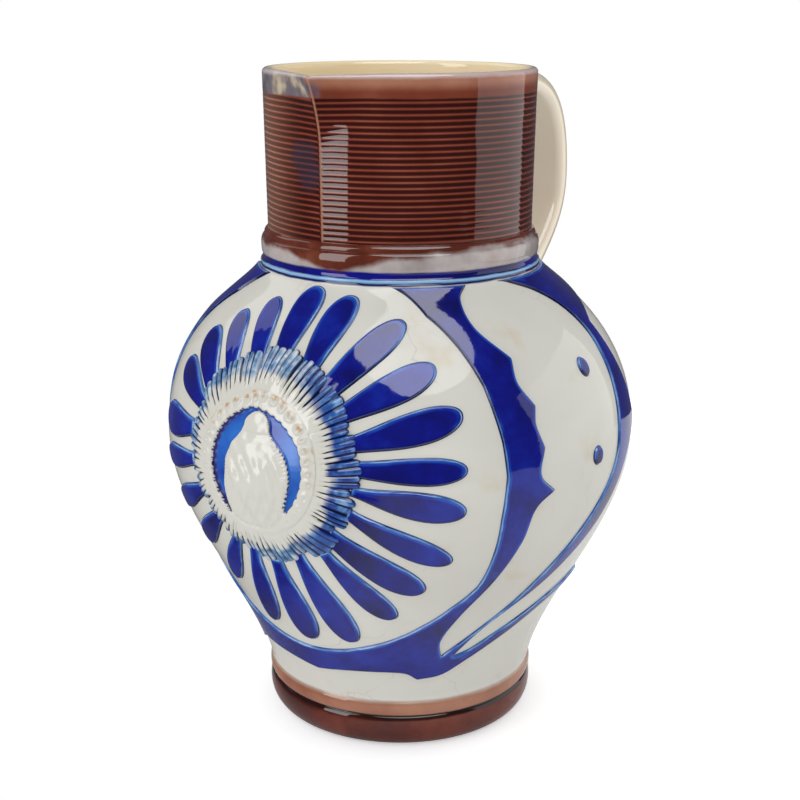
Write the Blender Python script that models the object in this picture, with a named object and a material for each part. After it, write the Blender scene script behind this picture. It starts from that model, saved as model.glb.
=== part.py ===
"""Salt-glazed stoneware jug: a turned pot with raised moulded ornament and a strap handle, fired as one.

The jug stands on its flat foot at z = 0 with its axis on the Z axis. The flower medallion and the pinched
spout face -Y and the handle is at +Y. Angles round the axis are counted from the medallion towards +X.
Metres throughout.
"""

from math import acos, asin, atan2, cos, hypot, pi, radians, sin

import bmesh
import bpy
from mathutils import Vector
from mathutils.geometry import delaunay_2d_cdt

# The turned pot: heights above the table and outer radii
HEIGHT = 0.320
STAND_RADIUS = 0.0607
FOOT_RADIUS = 0.0676
FOOT_BEAD_HEIGHT = 0.0165
FOOT_LINE_HEIGHT = 0.0080
WAIST_RADIUS = 0.0665
WAIST_HEIGHT = FOOT_BEAD_HEIGHT + FOOT_LINE_HEIGHT
BELLY_RADIUS = 0.1147
BELLY_HEIGHT = 0.147
SHOULDER_RADIUS = 0.0674
SHOULDER_HEIGHT = 0.2285
COLLAR_RADIUS = 0.0672
COLLAR_BAND_HEIGHT = 0.0060
COLLAR_BEAD_HEIGHT = 0.0110
NECK_RADIUS = 0.0636
RIM_RADIUS = 0.0648
RIM_BAND_HEIGHT = 0.0110
LIP_RADIUS = 0.0022
GROOVE_DEPTH = 0.0014

# The turned ridges of the neck
RIDGE_PITCH = 0.00266
RIDGE_DEPTH = 0.0006

# Walls, thrown thinner towards the rim
BASE_THICKNESS = 0.009
BODY_WALL = 0.005
NECK_WALL = 0.0042
RIM_WALL = 0.0036

# How the body's curves leave their ends, as shares of the body's spread and of its rise or fall
WAIST_LEAN = 0.186
WAIST_PULL = 0.342
BELLY_PULL_DOWN = 0.345
BELLY_PULL_UP = 0.68
SHOULDER_PULL = 0.08

# The spout, pinched out of the rim
SPOUT_REACH = 0.0096
SPOUT_DEPTH = 0.033
SPOUT_DIP = 0.0010

# The strap handle
HANDLE_WIDTH = 0.048
HANDLE_THICKNESS = 0.010
HANDLE_EDGE = 0.0026
HANDLE_GRIP = 0.0586
HANDLE_DROP = 0.0060
HANDLE_BEND_DROP = 0.0610
HANDLE_ROOT_DROP = 0.0224
HANDLE_ROOT_DEPTH = 0.0120

# The moulded ornament, raised above the pot's surface. It is drawn as someone facing it sees it, with heights
# from the waist, for a body of the drawn sizes, and it stretches with the body. Dots are (angle in degrees,
# share of the body's height)
DRAWN_RADIUS = 0.1147
DRAWN_HEIGHT = 0.2040
RELIEF_HEIGHT = 0.0012
RELIEF_WALL = 0.0010
MEDALLION_HEIGHT = 0.1175
MEDALLION_RADIUS = 0.093
BAND_WIDTH = 0.0095
PETAL_COUNT = 22
PETAL_ROOT_WIDTH = 0.0090
PETAL_WIDTH = 0.0160
PETAL_GAP = 0.0012
ROSETTE_HEIGHT = 0.1305
ROSETTE_RADIUS = 0.0480
ROSETTE_EDGE = 0.0014
ROSETTE_RISE = 0.0045
RUFF_SLOPE = 0.38
RIB_COUNT = 44
RIB_DEPTH = 0.0008
RIB_INNER_RADIUS = 0.0335
PEARL_COUNT = 36
PEARL_RING_RADIUS = 0.0275
PEARL_RADIUS = 0.0027
GROUND_DEPTH = 0.0022
SHIELD_WIDTH = 0.0340
SHIELD_LENGTH = 0.0380
SHIELD_DROP = 0.0065
SHIELD_SPINE = (-0.32, -0.16, 0.0, 0.16, 0.32)
DOT_RADIUS = 0.0043
DOTS = ((85.9, 0.811), (84.7, 0.620))

# How finely the round forms are divided. The flat drawing of the body starts and ends at the seam column
COLUMNS = 36
COLUMN_ANGLE = 2 * pi / COLUMNS
SEAM_COLUMN = -21
BODY_ROWS = 12
PROFILE_STEPS = 60
SWELL_STEPS = 2
CAVITY_COLUMNS = 22
CAVITY_STEP = 15
STRAP_STEPS = 8
MEDALLION_STEPS = 14
DOT_SIDES = 10
POINT_CLEARANCE = 0.0030

QUARTER_TURN = radians(90)


def bezier(a, b, c, d, steps):
    """Points of a cubic curve from a to d, both ends included."""
    a, b, c, d = Vector(a), Vector(b), Vector(c), Vector(d)
    points = []
    for step in range(steps + 1):
        t = step / steps
        points.append((1 - t) ** 3 * a + 3 * (1 - t) ** 2 * t * b + 3 * (1 - t) * t**2 * c + t**3 * d)
    return points


def swell(start, crest, end):
    """Profile points (radius, height) of a bead: a quarter ellipse out to the crest and one back in."""
    points = []
    for step in range(SWELL_STEPS + 1):
        turn = pi / 2 * step / SWELL_STEPS
        out = start[0] + (crest[0] - start[0]) * sin(turn)
        points.append((out, crest[1] + (start[1] - crest[1]) * cos(turn)))
    for step in range(1, SWELL_STEPS + 1):
        turn = pi / 2 * step / SWELL_STEPS
        out = end[0] + (crest[0] - end[0]) * cos(turn)
        points.append((out, crest[1] + (end[1] - crest[1]) * sin(turn)))
    return points


def body_profile():
    """The swelling body from the waist above the foot to the base of the collar, as (radius, height)."""
    rise, fall = BELLY_HEIGHT - WAIST_HEIGHT, SHOULDER_HEIGHT - BELLY_HEIGHT
    spread = BELLY_RADIUS - WAIST_RADIUS
    lower = bezier(
        (WAIST_RADIUS, WAIST_HEIGHT),
        (WAIST_RADIUS + WAIST_LEAN * spread, WAIST_HEIGHT + WAIST_PULL * rise),
        (BELLY_RADIUS, BELLY_HEIGHT - BELLY_PULL_DOWN * rise),
        (BELLY_RADIUS, BELLY_HEIGHT),
        PROFILE_STEPS,
    )
    upper = bezier(
        (BELLY_RADIUS, BELLY_HEIGHT),
        (BELLY_RADIUS, BELLY_HEIGHT + BELLY_PULL_UP * fall),
        (SHOULDER_RADIUS, SHOULDER_HEIGHT - SHOULDER_PULL * fall),
        (SHOULDER_RADIUS, SHOULDER_HEIGHT),
        PROFILE_STEPS,
    )
    return lower + upper[1:]


BODY = body_profile()
BODY_ARC = [0.0]
for below, above in zip(BODY, BODY[1:]):
    BODY_ARC.append(BODY_ARC[-1] + (above - below).length)
BODY_LENGTH = BODY_ARC[-1]


def body_at(arc):
    """Radius, height and outward normal (radial, upward) of the body, by length along its profile."""
    arc = min(max(arc, 0.0), BODY_LENGTH)
    i = next(k for k in range(len(BODY) - 1) if arc <= BODY_ARC[k + 1])
    share = (arc - BODY_ARC[i]) / (BODY_ARC[i + 1] - BODY_ARC[i])
    point = BODY[i].lerp(BODY[i + 1], share)
    along = (BODY[i + 1] - BODY[i]).normalized()
    return point.x, point.y, Vector((along.y, -along.x))


def arc_at(height):
    """Length along the body's profile at a height."""
    height = min(max(height, BODY[0].y), BODY[-1].y)
    i = next(k for k in range(len(BODY) - 1) if height <= BODY[k + 1].y)
    share = (height - BODY[i].y) / (BODY[i + 1].y - BODY[i].y)
    return BODY_ARC[i] + share * (BODY_ARC[i + 1] - BODY_ARC[i])


def spout_ratio(height):
    """How far the spout's tip stands out at a height, as a multiple of the neck's radius."""
    rise = (height - (HEIGHT - SPOUT_DEPTH)) / SPOUT_DEPTH
    return 1 + SPOUT_REACH / RIM_RADIUS * max(rise, 0.0) ** 1.8


def place(angle, radius, height):
    """A point of the turned pot. The spout's flanks are straight in plan and tangent to the round neck."""
    angle = atan2(sin(angle), cos(angle))
    reach = acos(1 / spout_ratio(height))
    if abs(angle) < reach:
        radius /= cos(reach - abs(angle))
        height -= SPOUT_DIP * (1 - abs(angle) / reach) * (height / HEIGHT) ** 8
    return Vector((radius * sin(angle), -radius * cos(angle), height))


def ring(mesh, columns, radius, height):
    """A ring of vertices round the pot, starting at the medallion."""
    return [mesh.verts.new(place(i * 2 * pi / columns, radius, height)) for i in range(columns)]


def skin(mesh, profile, columns):
    """Rings of vertices joined by quads up a profile of (radius, height). Returns the end rings."""
    rings = [ring(mesh, columns, radius, height) for radius, height in profile]
    for low, high in zip(rings, rings[1:]):
        for i in range(columns):
            j = (i + 1) % columns
            mesh.faces.new((low[i], low[j], high[j], high[i]))
    return rings[0], rings[-1]


def foot_profile():
    """The foot's bead, the groove above it and the narrow line below the body."""
    groove = FOOT_RADIUS - GROOVE_DEPTH
    bead_top = FOOT_BEAD_HEIGHT
    bead = swell((STAND_RADIUS, 0.0), (FOOT_RADIUS, 0.68 * bead_top), (groove, bead_top))
    line_middle = (bead_top + WAIST_HEIGHT) / 2
    line = swell((groove, bead_top), (FOOT_RADIUS, line_middle), (WAIST_RADIUS, WAIST_HEIGHT))
    return bead + line[1:]


def neck_profile():
    """The collar's band and bead, the ridged neck, the plain rim band and the rounded lip."""
    band_top = SHOULDER_HEIGHT + COLLAR_BAND_HEIGHT
    bead_top = band_top + COLLAR_BEAD_HEIGHT
    bead = swell(
        (COLLAR_RADIUS - GROOVE_DEPTH / 2, band_top),
        (COLLAR_RADIUS, band_top + COLLAR_BEAD_HEIGHT / 2),
        (NECK_RADIUS - RIDGE_DEPTH, bead_top),
    )
    profile = [
        (SHOULDER_RADIUS, SHOULDER_HEIGHT),
        (COLLAR_RADIUS - GROOVE_DEPTH / 2, SHOULDER_HEIGHT + 0.15 * COLLAR_BAND_HEIGHT),
        (COLLAR_RADIUS, SHOULDER_HEIGHT + 0.35 * COLLAR_BAND_HEIGHT),
        (COLLAR_RADIUS, band_top - 0.15 * COLLAR_BAND_HEIGHT),
    ] + bead

    ridged = HEIGHT - RIM_BAND_HEIGHT - bead_top
    ridges = max(1, round(ridged / RIDGE_PITCH))
    for i in range(ridges):
        crest = bead_top + ridged * (i + 0.5) / ridges
        groove = bead_top + ridged * (i + 1) / ridges
        profile.append((neck_radius(crest), crest))
        profile.append((neck_radius(groove) - RIDGE_DEPTH, groove))

    lip = HEIGHT - LIP_RADIUS
    profile.append((neck_radius(lip), HEIGHT - 0.85 * RIM_BAND_HEIGHT))
    for step in range(SWELL_STEPS + 1):
        turn = pi / 2 * step / SWELL_STEPS
        profile.append((RIM_RADIUS - LIP_RADIUS * (1 - cos(turn)), lip + LIP_RADIUS * sin(turn)))
    return profile


def neck_radius(height):
    """Radius over the ridges' crests, which widens a little towards the rim."""
    foot = SHOULDER_HEIGHT + COLLAR_BAND_HEIGHT + COLLAR_BEAD_HEIGHT
    return NECK_RADIUS + (RIM_RADIUS - NECK_RADIUS) * (height - foot) / (HEIGHT - foot)


def cavity_profile():
    """The inside of the pot from its floor to just above the rim, as (radius, height)."""
    profile = []
    for i in range(0, len(BODY), CAVITY_STEP):
        radius, height, normal = body_at(BODY_ARC[i])
        radius, height = radius - BODY_WALL * normal.x, height - BODY_WALL * normal.y
        if BASE_THICKNESS + BODY_WALL < height < SHOULDER_HEIGHT - BODY_WALL:
            profile.append((radius, height))
    floor = profile[0][0] - BODY_WALL
    profile = [(floor, BASE_THICKNESS), (floor + 0.7 * BODY_WALL, BASE_THICKNESS + 0.3 * BODY_WALL)] + profile
    collar = SHOULDER_HEIGHT + COLLAR_BAND_HEIGHT + COLLAR_BEAD_HEIGHT
    inner = NECK_RADIUS - RIDGE_DEPTH - NECK_WALL
    mouth = RIM_RADIUS - RIM_WALL
    profile += [
        (SHOULDER_RADIUS - BODY_WALL, SHOULDER_HEIGHT - BODY_WALL / 4),
        (inner, collar),
        (neck_radius(HEIGHT - SPOUT_DEPTH) - RIDGE_DEPTH - NECK_WALL, HEIGHT - SPOUT_DEPTH),
        ((inner + mouth) / 2, HEIGHT - SPOUT_DEPTH / 2),
        (mouth - LIP_RADIUS / 4, HEIGHT - LIP_RADIUS),
        (mouth + LIP_RADIUS / 4, HEIGHT),
        (mouth + LIP_RADIUS, HEIGHT + LIP_RADIUS),
    ]
    return profile


def spread_out(angle, height):
    """The body's surface laid flat: length round the belly, and length up the profile."""
    return Vector((angle * BELLY_RADIUS, arc_at(height)))


def from_drawing(across, up):
    """A point of the flat sheet from the drawing of the ornament: across from the middle, up from the waist."""
    height = WAIST_HEIGHT + (SHOULDER_HEIGHT - WAIST_HEIGHT) * up / DRAWN_HEIGHT
    radius = body_at(arc_at(height))[0] * DRAWN_RADIUS / BELLY_RADIUS
    return spread_out(asin(max(-1.0, min(1.0, across / radius))), height)


def to_drawing(point):
    """Where a point of the flat sheet lies in the drawing of the ornament."""
    radius, height, _ = body_at(point.y)
    across = radius * sin(point.x / BELLY_RADIUS) * DRAWN_RADIUS / BELLY_RADIUS
    return across, (height - WAIST_HEIGHT) * DRAWN_HEIGHT / (SHOULDER_HEIGHT - WAIST_HEIGHT)


def petal_outline(index):
    """One petal of the medallion, from beneath the rosette's ruff to its rounded tip, in front view."""
    turn = 2 * pi * index / PETAL_COUNT
    reach = MEDALLION_RADIUS - BAND_WIDTH
    tip = Vector((reach * sin(turn), MEDALLION_HEIGHT + reach * cos(turn)))
    centre = Vector((0.0, ROSETTE_HEIGHT))
    along = (tip - centre).normalized()
    side = Vector((along.y, -along.x))
    root = centre + along * (ROSETTE_RADIUS + PETAL_GAP)
    length = (tip - root).length
    widest = 0.64 * length
    half_root, half = PETAL_ROOT_WIDTH / 2, PETAL_WIDTH / 2

    right = []
    for share in (0.0, 0.5):
        width = half_root + (half - half_root) * sin(pi / 2 * share)
        right.append(root + along * widest * share + side * width)
    tip_half = []
    for turn in (90, 58, 30, 9):
        reach, width = (length - widest) * cos(radians(turn)), half * sin(radians(turn))
        tip_half.append(root + along * (widest + reach) + side * width)
    one_side = right + tip_half
    mirrored = [point - 2 * side * (point - root).dot(side) for point in reversed(one_side)]
    return [from_drawing(*point) for point in one_side + mirrored]


def strapwork_outline():
    """The band round the medallion with its scalloped edge, and the bands that branch off over each side.

    Points past the medallion's own circle are (angle in degrees, percentage of the body's height).
    """
    top = DRAWN_HEIGHT - RELIEF_WALL
    bottom = MEDALLION_HEIGHT - MEDALLION_RADIUS
    circle = []
    cut = acos(min(1.0, (top - MEDALLION_HEIGHT) / MEDALLION_RADIUS))
    for step in range(MEDALLION_STEPS + 1):
        turn = pi + (cut - pi) * step / MEDALLION_STEPS
        across, up = MEDALLION_RADIUS * sin(turn), MEDALLION_HEIGHT + MEDALLION_RADIUS * cos(turn)
        circle.append(from_drawing(across, max(up, bottom)))
    edge = 100 * top / DRAWN_HEIGHT
    over_medallion = [(angle, edge) for angle in (41, 50)]
    over_side = [(angle, edge) for angle in range(83, 143, 10)]
    scallops = [
        (58.7, edge), (53.5, 96.3), (56.5, 90.9), (63.2, 85.8), (62.7, 81.1), (66.0, 76.2),
        (65.3, 72.3), (67.0, 67.4), (65.8, 61.5), (69.8, 57.4), (64.8, 53.7), (62.8, 45.8),
        (58.0, 36.0), (51.0, 26.7), (46.5, 18.9), (47.5, 14.0),
    ]
    side_panel = [
        (56.8, 19.9), (67.2, 27.2), (76, 35.5), (85, 45.8), (91, 53.7), (94.7, 60.5), (96.2, 67.4),
        (97.6, 74.8), (98.6, 81.1), (100, 88.0), (96.8, 92.4), (90, 96.3), (79, 98.8), (73, edge),
    ]
    back_edge = [
        (144, edge), (137, 96.8), (123, 92.9), (110, 89.2), (105.4, 87.5), (106, 82.1), (108.5, 72.3),
        (110.7, 65.0), (102.6, 58.1), (97.5, 51.2), (90, 41.9), (78, 32.1), (62, 22.3), (52, 13.5),
    ]
    low_leaf = [
        (58, 15.0), (68.5, 19.4), (83.5, 24.8), (97, 27.5), (105.5, 28.2), (97, 25.5), (84, 22.5),
        (71, 17.2), (58, 11.5), (49, 7.8), (39.5, 6.9), (33, 9.1), (16, 8.8),
    ]
    beyond = over_medallion + scallops + side_panel + over_side + back_edge + low_leaf
    right = circle + [
        spread_out(radians(angle), WAIST_HEIGHT + (SHOULDER_HEIGHT - WAIST_HEIGHT) * percentage / 100)
        for angle, percentage in beyond
    ]
    right.append(from_drawing(0.0, bottom - BAND_WIDTH))
    left = [Vector((-point.x, point.y)) for point in reversed(right[1:-1])]
    return right + left


def dot_outline(angle, share):
    """A round dot beside the medallion, at a share of the body's height."""
    centre = spread_out(angle, WAIST_HEIGHT + (SHOULDER_HEIGHT - WAIST_HEIGHT) * share)
    turns = [2 * pi * i / DOT_SIDES for i in range(DOT_SIDES)]
    return [centre + DOT_RADIUS * Vector((cos(turn), sin(turn))) for turn in turns]


def inset(outline, distance):
    """The outline moved inwards by a distance, for the top edge of a raised field's sloping wall."""
    moved = []
    for before, point, after in zip(outline[-1:] + outline[:-1], outline, outline[1:] + outline[:1]):
        into, out = (point - before).normalized(), (after - point).normalized()
        normal = Vector((-into.y - out.y, into.x + out.x))
        spread = max(normal.length_squared / 2, 0.35)
        moved.append(point + normal * distance / spread)
    return moved


def turned_left(outline):
    """The outline in the order that keeps its inside on the left."""
    area = sum(a.x * b.y - b.x * a.y for a, b in zip(outline, outline[1:] + outline[:1]))
    return outline if area > 0 else list(reversed(outline))


def distance_inside(point, outline):
    """How far a point lies inside an outline, and negative outside it."""
    inside = False
    nearest = float("inf")
    for a, b in zip(outline, outline[1:] + outline[:1]):
        along = b - a
        share = max(0.0, min(1.0, (point - a).dot(along) / along.length_squared))
        nearest = min(nearest, (point - a - along * share).length)
        if (a.y > point.y) != (b.y > point.y) and point.x < a.x + along.x * (point.y - a.y) / along.y:
            inside = not inside
    return nearest if inside else -nearest


def rosette_rise(from_centre, turn):
    """Height of the rosette over the body: a ribbed ruff, a ring of pearls and a sunk ground."""
    if from_centre >= ROSETTE_RADIUS:
        return 0.0
    if from_centre > RIB_INNER_RADIUS:
        share = (ROSETTE_RADIUS - from_centre) / (ROSETTE_RADIUS - RIB_INNER_RADIUS)
        rise = ROSETTE_RISE * (1 - RUFF_SLOPE * (1 - share))
        return rise + RIB_DEPTH * cos(RIB_COUNT * turn)
    ring_distance = abs(from_centre - PEARL_RING_RADIUS)
    if ring_distance < PEARL_RADIUS / 2:
        return ROSETTE_RISE + PEARL_RADIUS * (0.5 + 0.5 * cos(PEARL_COUNT * turn))
    if from_centre < PEARL_RING_RADIUS - PEARL_RADIUS * 1.1:
        return ROSETTE_RISE - GROUND_DEPTH
    return ROSETTE_RISE


def shield_outline():
    """The plain worn shield in the rosette's middle, with a small knob over it, in front view."""
    half, centre = SHIELD_WIDTH / 2, Vector((0.0, ROSETTE_HEIGHT - SHIELD_DROP))
    knob = half / 3
    right = [
        (0.0, -SHIELD_LENGTH / 2), (0.5 * half, -0.43 * SHIELD_LENGTH), (0.88 * half, -0.22 * SHIELD_LENGTH),
        (half, 0.06 * SHIELD_LENGTH), (0.86 * half, 0.32 * SHIELD_LENGTH), (0.5 * half, 0.45 * SHIELD_LENGTH),
        (knob, 0.56 * SHIELD_LENGTH), (knob, 0.72 * SHIELD_LENGTH), (0.0, 0.78 * SHIELD_LENGTH),
    ]
    left = [(-across, up) for across, up in reversed(right[1:-1])]
    return [centre + Vector(point) for point in right + left]


class Sheet:
    """The body's decorated surface, drawn flat as points and edges and then wrapped round the pot."""

    def __init__(self):
        self.points, self.edges, self.fields = [], [], []
        self.shield = turned_left([from_drawing(*point) for point in shield_outline()])

    def loop(self, outline):
        """Adds a closed line that the faces will follow. Returns the first point's number."""
        first, count = len(self.points), len(outline)
        self.points += outline
        self.edges += [(first + i, first + (i + 1) % count) for i in range(count)]
        return first

    def raise_field(self, outline):
        """Adds a flat field raised over the ground, with a sloping wall inside its outline."""
        outline = turned_left(outline)
        self.fields.append(outline)
        self.loop(outline)
        self.loop(inset(outline, RELIEF_WALL))

    def rosette_ring(self, radius, count, inner=None):
        """Adds a ring of the rosette, joined to the ring inside it where its ribs run through."""
        points = []
        for i in range(count):
            turn = 2 * pi * i / count
            points.append(from_drawing(radius * sin(turn), ROSETTE_HEIGHT + radius * cos(turn)))
        first = self.loop(points)
        if inner is not None:
            self.edges += [(first + i, inner + i) for i in range(count)]
        return first

    def rise(self, point):
        """Height of the ornament over the body at a point of the flat drawing."""
        across, up = to_drawing(point)
        from_centre = hypot(across, up - ROSETTE_HEIGHT)
        if abs(point.x / BELLY_RADIUS) < QUARTER_TURN and from_centre < ROSETTE_RADIUS - 1e-5:
            rise = rosette_rise(from_centre, atan2(across, up - ROSETTE_HEIGHT))
            share = distance_inside(point, self.shield) / RELIEF_WALL
            return rise + (GROUND_DEPTH + RELIEF_HEIGHT) * max(0.0, min(1.0, share))
        best = 0.0
        for outline in self.fields:
            if min(p.x for p in outline) < point.x < max(p.x for p in outline):
                best = max(best, min(1.0, distance_inside(point, outline) / RELIEF_WALL))
        return RELIEF_HEIGHT * best

    def too_close(self, point):
        """Whether a point of the plain ground would crowd the ornament's own points."""
        across, up = to_drawing(point)
        from_centre = hypot(across, up - ROSETTE_HEIGHT)
        if abs(point.x / BELLY_RADIUS) < QUARTER_TURN and from_centre < ROSETTE_RADIUS + POINT_CLEARANCE:
            return True
        return any(abs(distance_inside(point, outline)) < POINT_CLEARANCE for outline in self.fields)

    def draw(self):
        """All of the ornament, then the ground's own points between it and round the edge."""
        for index in range(PETAL_COUNT):
            self.raise_field(petal_outline(index))
        self.raise_field(strapwork_outline())
        for angle, height in DOTS:
            self.raise_field(dot_outline(radians(angle), height))
            self.raise_field(dot_outline(radians(-angle), height))

        ribs = 2 * RIB_COUNT
        ring_low = self.rosette_ring(RIB_INNER_RADIUS + ROSETTE_EDGE / 2, ribs)
        ring_middle = self.rosette_ring((RIB_INNER_RADIUS + ROSETTE_RADIUS) / 2, ribs, ring_low)
        ring_high = self.rosette_ring(ROSETTE_RADIUS - ROSETTE_EDGE, ribs, ring_middle)
        self.rosette_ring(ROSETTE_RADIUS, ribs, ring_high)
        pearls = 2 * PEARL_COUNT
        self.rosette_ring(RIB_INNER_RADIUS - ROSETTE_EDGE / 2, PEARL_COUNT)
        self.rosette_ring(PEARL_RING_RADIUS + PEARL_RADIUS, pearls)
        self.rosette_ring(PEARL_RING_RADIUS, pearls)
        self.rosette_ring(PEARL_RING_RADIUS - PEARL_RADIUS, pearls)
        self.rosette_ring(PEARL_RING_RADIUS - 1.4 * PEARL_RADIUS, PEARL_COUNT)
        self.loop(self.shield)
        self.loop(inset(self.shield, RELIEF_WALL))
        for share in SHIELD_SPINE:
            self.points.append(from_drawing(0.0, ROSETTE_HEIGHT - SHIELD_DROP + share * SHIELD_LENGTH))

        ground = []
        for row in range(1, BODY_ROWS):
            arc = BODY_LENGTH * row / BODY_ROWS
            for column in range(1, COLUMNS):
                angle = (SEAM_COLUMN + column) * COLUMN_ANGLE
                point = Vector((angle * BELLY_RADIUS, arc))
                if not self.too_close(point):
                    ground.append(point)
        self.points += ground

        across = [(SEAM_COLUMN + i) * COLUMN_ANGLE * BELLY_RADIUS for i in range(COLUMNS + 1)]
        up = [BODY_LENGTH * i / BODY_ROWS for i in range(BODY_ROWS + 1)]
        frame = [(x, up[0]) for x in across[:-1]] + [(across[-1], y) for y in up[:-1]]
        frame += [(x, up[-1]) for x in across[:0:-1]] + [(across[0], y) for y in up[:0:-1]]
        self.loop([Vector(point) for point in frame])

    def wrap(self, mesh):
        """Triangulates the drawing and adds it to the mesh, wrapped round the body and raised."""
        points, _, faces = delaunay_2d_cdt(self.points, self.edges, [], 0, 1e-6)[:3]
        verts = []
        for point in points:
            radius, height, normal = body_at(point.y)
            angle, rise = point.x / BELLY_RADIUS, self.rise(point)
            verts.append(mesh.verts.new(place(angle, radius + rise * normal.x, height + rise * normal.y)))
        for face in faces:
            mesh.faces.new([verts[i] for i in face])


def pot_form():
    """The pot's outside as a closed form: foot, decorated body, ridged neck and lip."""
    mesh = bmesh.new()
    bottom, _ = skin(mesh, foot_profile(), COLUMNS)
    sheet = Sheet()
    sheet.draw()
    sheet.wrap(mesh)
    _, top = skin(mesh, neck_profile(), COLUMNS)
    mesh.faces.new(list(reversed(bottom)))
    mesh.faces.new(top)
    bmesh.ops.remove_doubles(mesh, verts=mesh.verts, dist=1e-5)
    bmesh.ops.recalc_face_normals(mesh, faces=mesh.faces)
    return mesh


def cavity_form():
    """The space inside, open through the mouth, as a closed form to cut away."""
    mesh = bmesh.new()
    bottom, top = skin(mesh, cavity_profile(), CAVITY_COLUMNS)
    mesh.faces.new(list(reversed(bottom)))
    mesh.faces.new(top)
    bmesh.ops.recalc_face_normals(mesh, faces=mesh.faces)
    return mesh


def strap_path():
    """The middle line of the strap, as (distance from the axis, height), from the neck to the body."""
    half = HANDLE_THICKNESS / 2
    top = HEIGHT - HANDLE_DROP - half
    outermost = RIM_RADIUS + HANDLE_GRIP + half
    bend = HEIGHT - HANDLE_BEND_DROP
    start = RIM_RADIUS - NECK_WALL - 2 * half
    over = (outermost - 0.49 * HANDLE_GRIP, top + 0.73 * HANDLE_THICKNESS)
    down = (outermost, bend + 0.78 * HANDLE_BEND_DROP)
    upper = bezier((start, top), over, down, (outermost, bend), STRAP_STEPS)
    radius, height, normal = body_at(arc_at(SHOULDER_HEIGHT - HANDLE_ROOT_DROP))
    root = Vector((radius, height)) - normal * HANDLE_ROOT_DEPTH
    under = (outermost, bend - 0.42 * HANDLE_BEND_DROP)
    lower = bezier((outermost, bend), under, root + 3.4 * HANDLE_THICKNESS * normal, root, STRAP_STEPS)
    return upper + lower[1:]


def strap_form():
    """The strap handle, swept along its middle line with softened edges."""
    half_width, half = HANDLE_WIDTH / 2, HANDLE_THICKNESS / 2
    edge = HANDLE_EDGE
    section = [
        (-half_width, half - edge), (-half_width + edge, half), (0.0, half), (half_width - edge, half),
        (half_width, half - edge), (half_width, edge - half), (half_width - edge, -half),
        (0.0, -half), (edge - half_width, -half), (-half_width, edge - half),
    ]
    path = strap_path()
    mesh = bmesh.new()
    rings = []
    for i, point in enumerate(path):
        along = (path[min(i + 1, len(path) - 1)] - path[max(i - 1, 0)]).normalized()
        outward = Vector((-along.y, along.x))
        ring_points = [(across, *(point + outward * out)) for across, out in section]
        rings.append([mesh.verts.new(corner) for corner in ring_points])
    for low, high in zip(rings, rings[1:]):
        for i in range(len(section)):
            j = (i + 1) % len(section)
            mesh.faces.new((low[i], low[j], high[j], high[i]))
    mesh.faces.new(rings[0])
    mesh.faces.new(rings[-1])
    bmesh.ops.recalc_face_normals(mesh, faces=mesh.faces)
    return mesh


def make_object(name, mesh):
    """A Blender object of that name from a bmesh."""
    data = bpy.data.meshes.new(name)
    mesh.to_mesh(data)
    mesh.free()
    made = bpy.data.objects.new(name, data)
    bpy.context.scene.collection.objects.link(made)
    return made


def make_cutter(name, mesh):
    """An object that only shapes another."""
    made = make_object(name, mesh)
    made.hide_render = True
    made.display_type = "WIRE"
    return made


def combine(target, name, operation, other):
    """Adds a Boolean that joins or cuts the target with another object."""
    modifier = target.modifiers.new(name, "BOOLEAN")
    modifier.operation = operation
    modifier.object = other
    modifier.solver = "EXACT"


def stoneware():
    """Pale stoneware under a glossy salt glaze."""
    material = bpy.data.materials.new("salt_glazed_stoneware")
    material.use_nodes = True
    shader = material.node_tree.nodes["Principled BSDF"]
    shader.inputs["Base Color"].default_value = (0.78, 0.73, 0.62, 1.0)
    shader.inputs["Roughness"].default_value = 0.15
    shader.inputs["Metallic"].default_value = 0.0
    return material


for existing in list(bpy.data.objects):
    bpy.data.objects.remove(existing, do_unlink=True)

jug = make_object("jug", pot_form())
combine(jug, "handle", "UNION", make_cutter("strap_handle_form", strap_form()))
combine(jug, "hollow", "DIFFERENCE", make_cutter("cavity_form", cavity_form()))
jug.data.materials.append(stoneware())
jug.data.shade_smooth()
jug.data.set_sharp_from_angle(angle=radians(40))
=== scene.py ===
"""The looks of the salt-glazed stoneware jug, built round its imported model.

Metres, +Z up. The flower medallion and the spout face -Y and the handle is at +Y. Angles round the axis are
counted from the medallion towards +X, and the ornament is laid out as someone facing it sees it.
"""

from math import cos, pi, radians, sin

import bpy
import numpy as np
from mathutils.geometry import delaunay_2d_cdt
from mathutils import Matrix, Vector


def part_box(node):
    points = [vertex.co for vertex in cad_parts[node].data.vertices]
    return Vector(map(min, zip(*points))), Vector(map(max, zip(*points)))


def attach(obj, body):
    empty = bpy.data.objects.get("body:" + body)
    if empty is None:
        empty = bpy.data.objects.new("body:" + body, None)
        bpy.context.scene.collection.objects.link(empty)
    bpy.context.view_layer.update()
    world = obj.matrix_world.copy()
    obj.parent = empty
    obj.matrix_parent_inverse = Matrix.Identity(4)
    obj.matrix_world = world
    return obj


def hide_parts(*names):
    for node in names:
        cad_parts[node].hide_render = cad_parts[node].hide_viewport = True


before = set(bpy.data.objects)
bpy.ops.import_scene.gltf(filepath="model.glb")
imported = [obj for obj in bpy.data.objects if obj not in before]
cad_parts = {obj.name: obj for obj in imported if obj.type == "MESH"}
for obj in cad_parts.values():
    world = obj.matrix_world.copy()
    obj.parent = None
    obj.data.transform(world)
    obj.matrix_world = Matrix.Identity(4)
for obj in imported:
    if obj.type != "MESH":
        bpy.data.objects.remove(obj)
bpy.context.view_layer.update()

# The turned pot: foot, belly, collar, ridged neck and lip, thrown in pale stoneware in one piece and hollow.
# Brown slip covers the foot and the neck and cobalt the band under the collar, all under a clear salt glaze.
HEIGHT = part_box("jug")[1][2]
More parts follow.
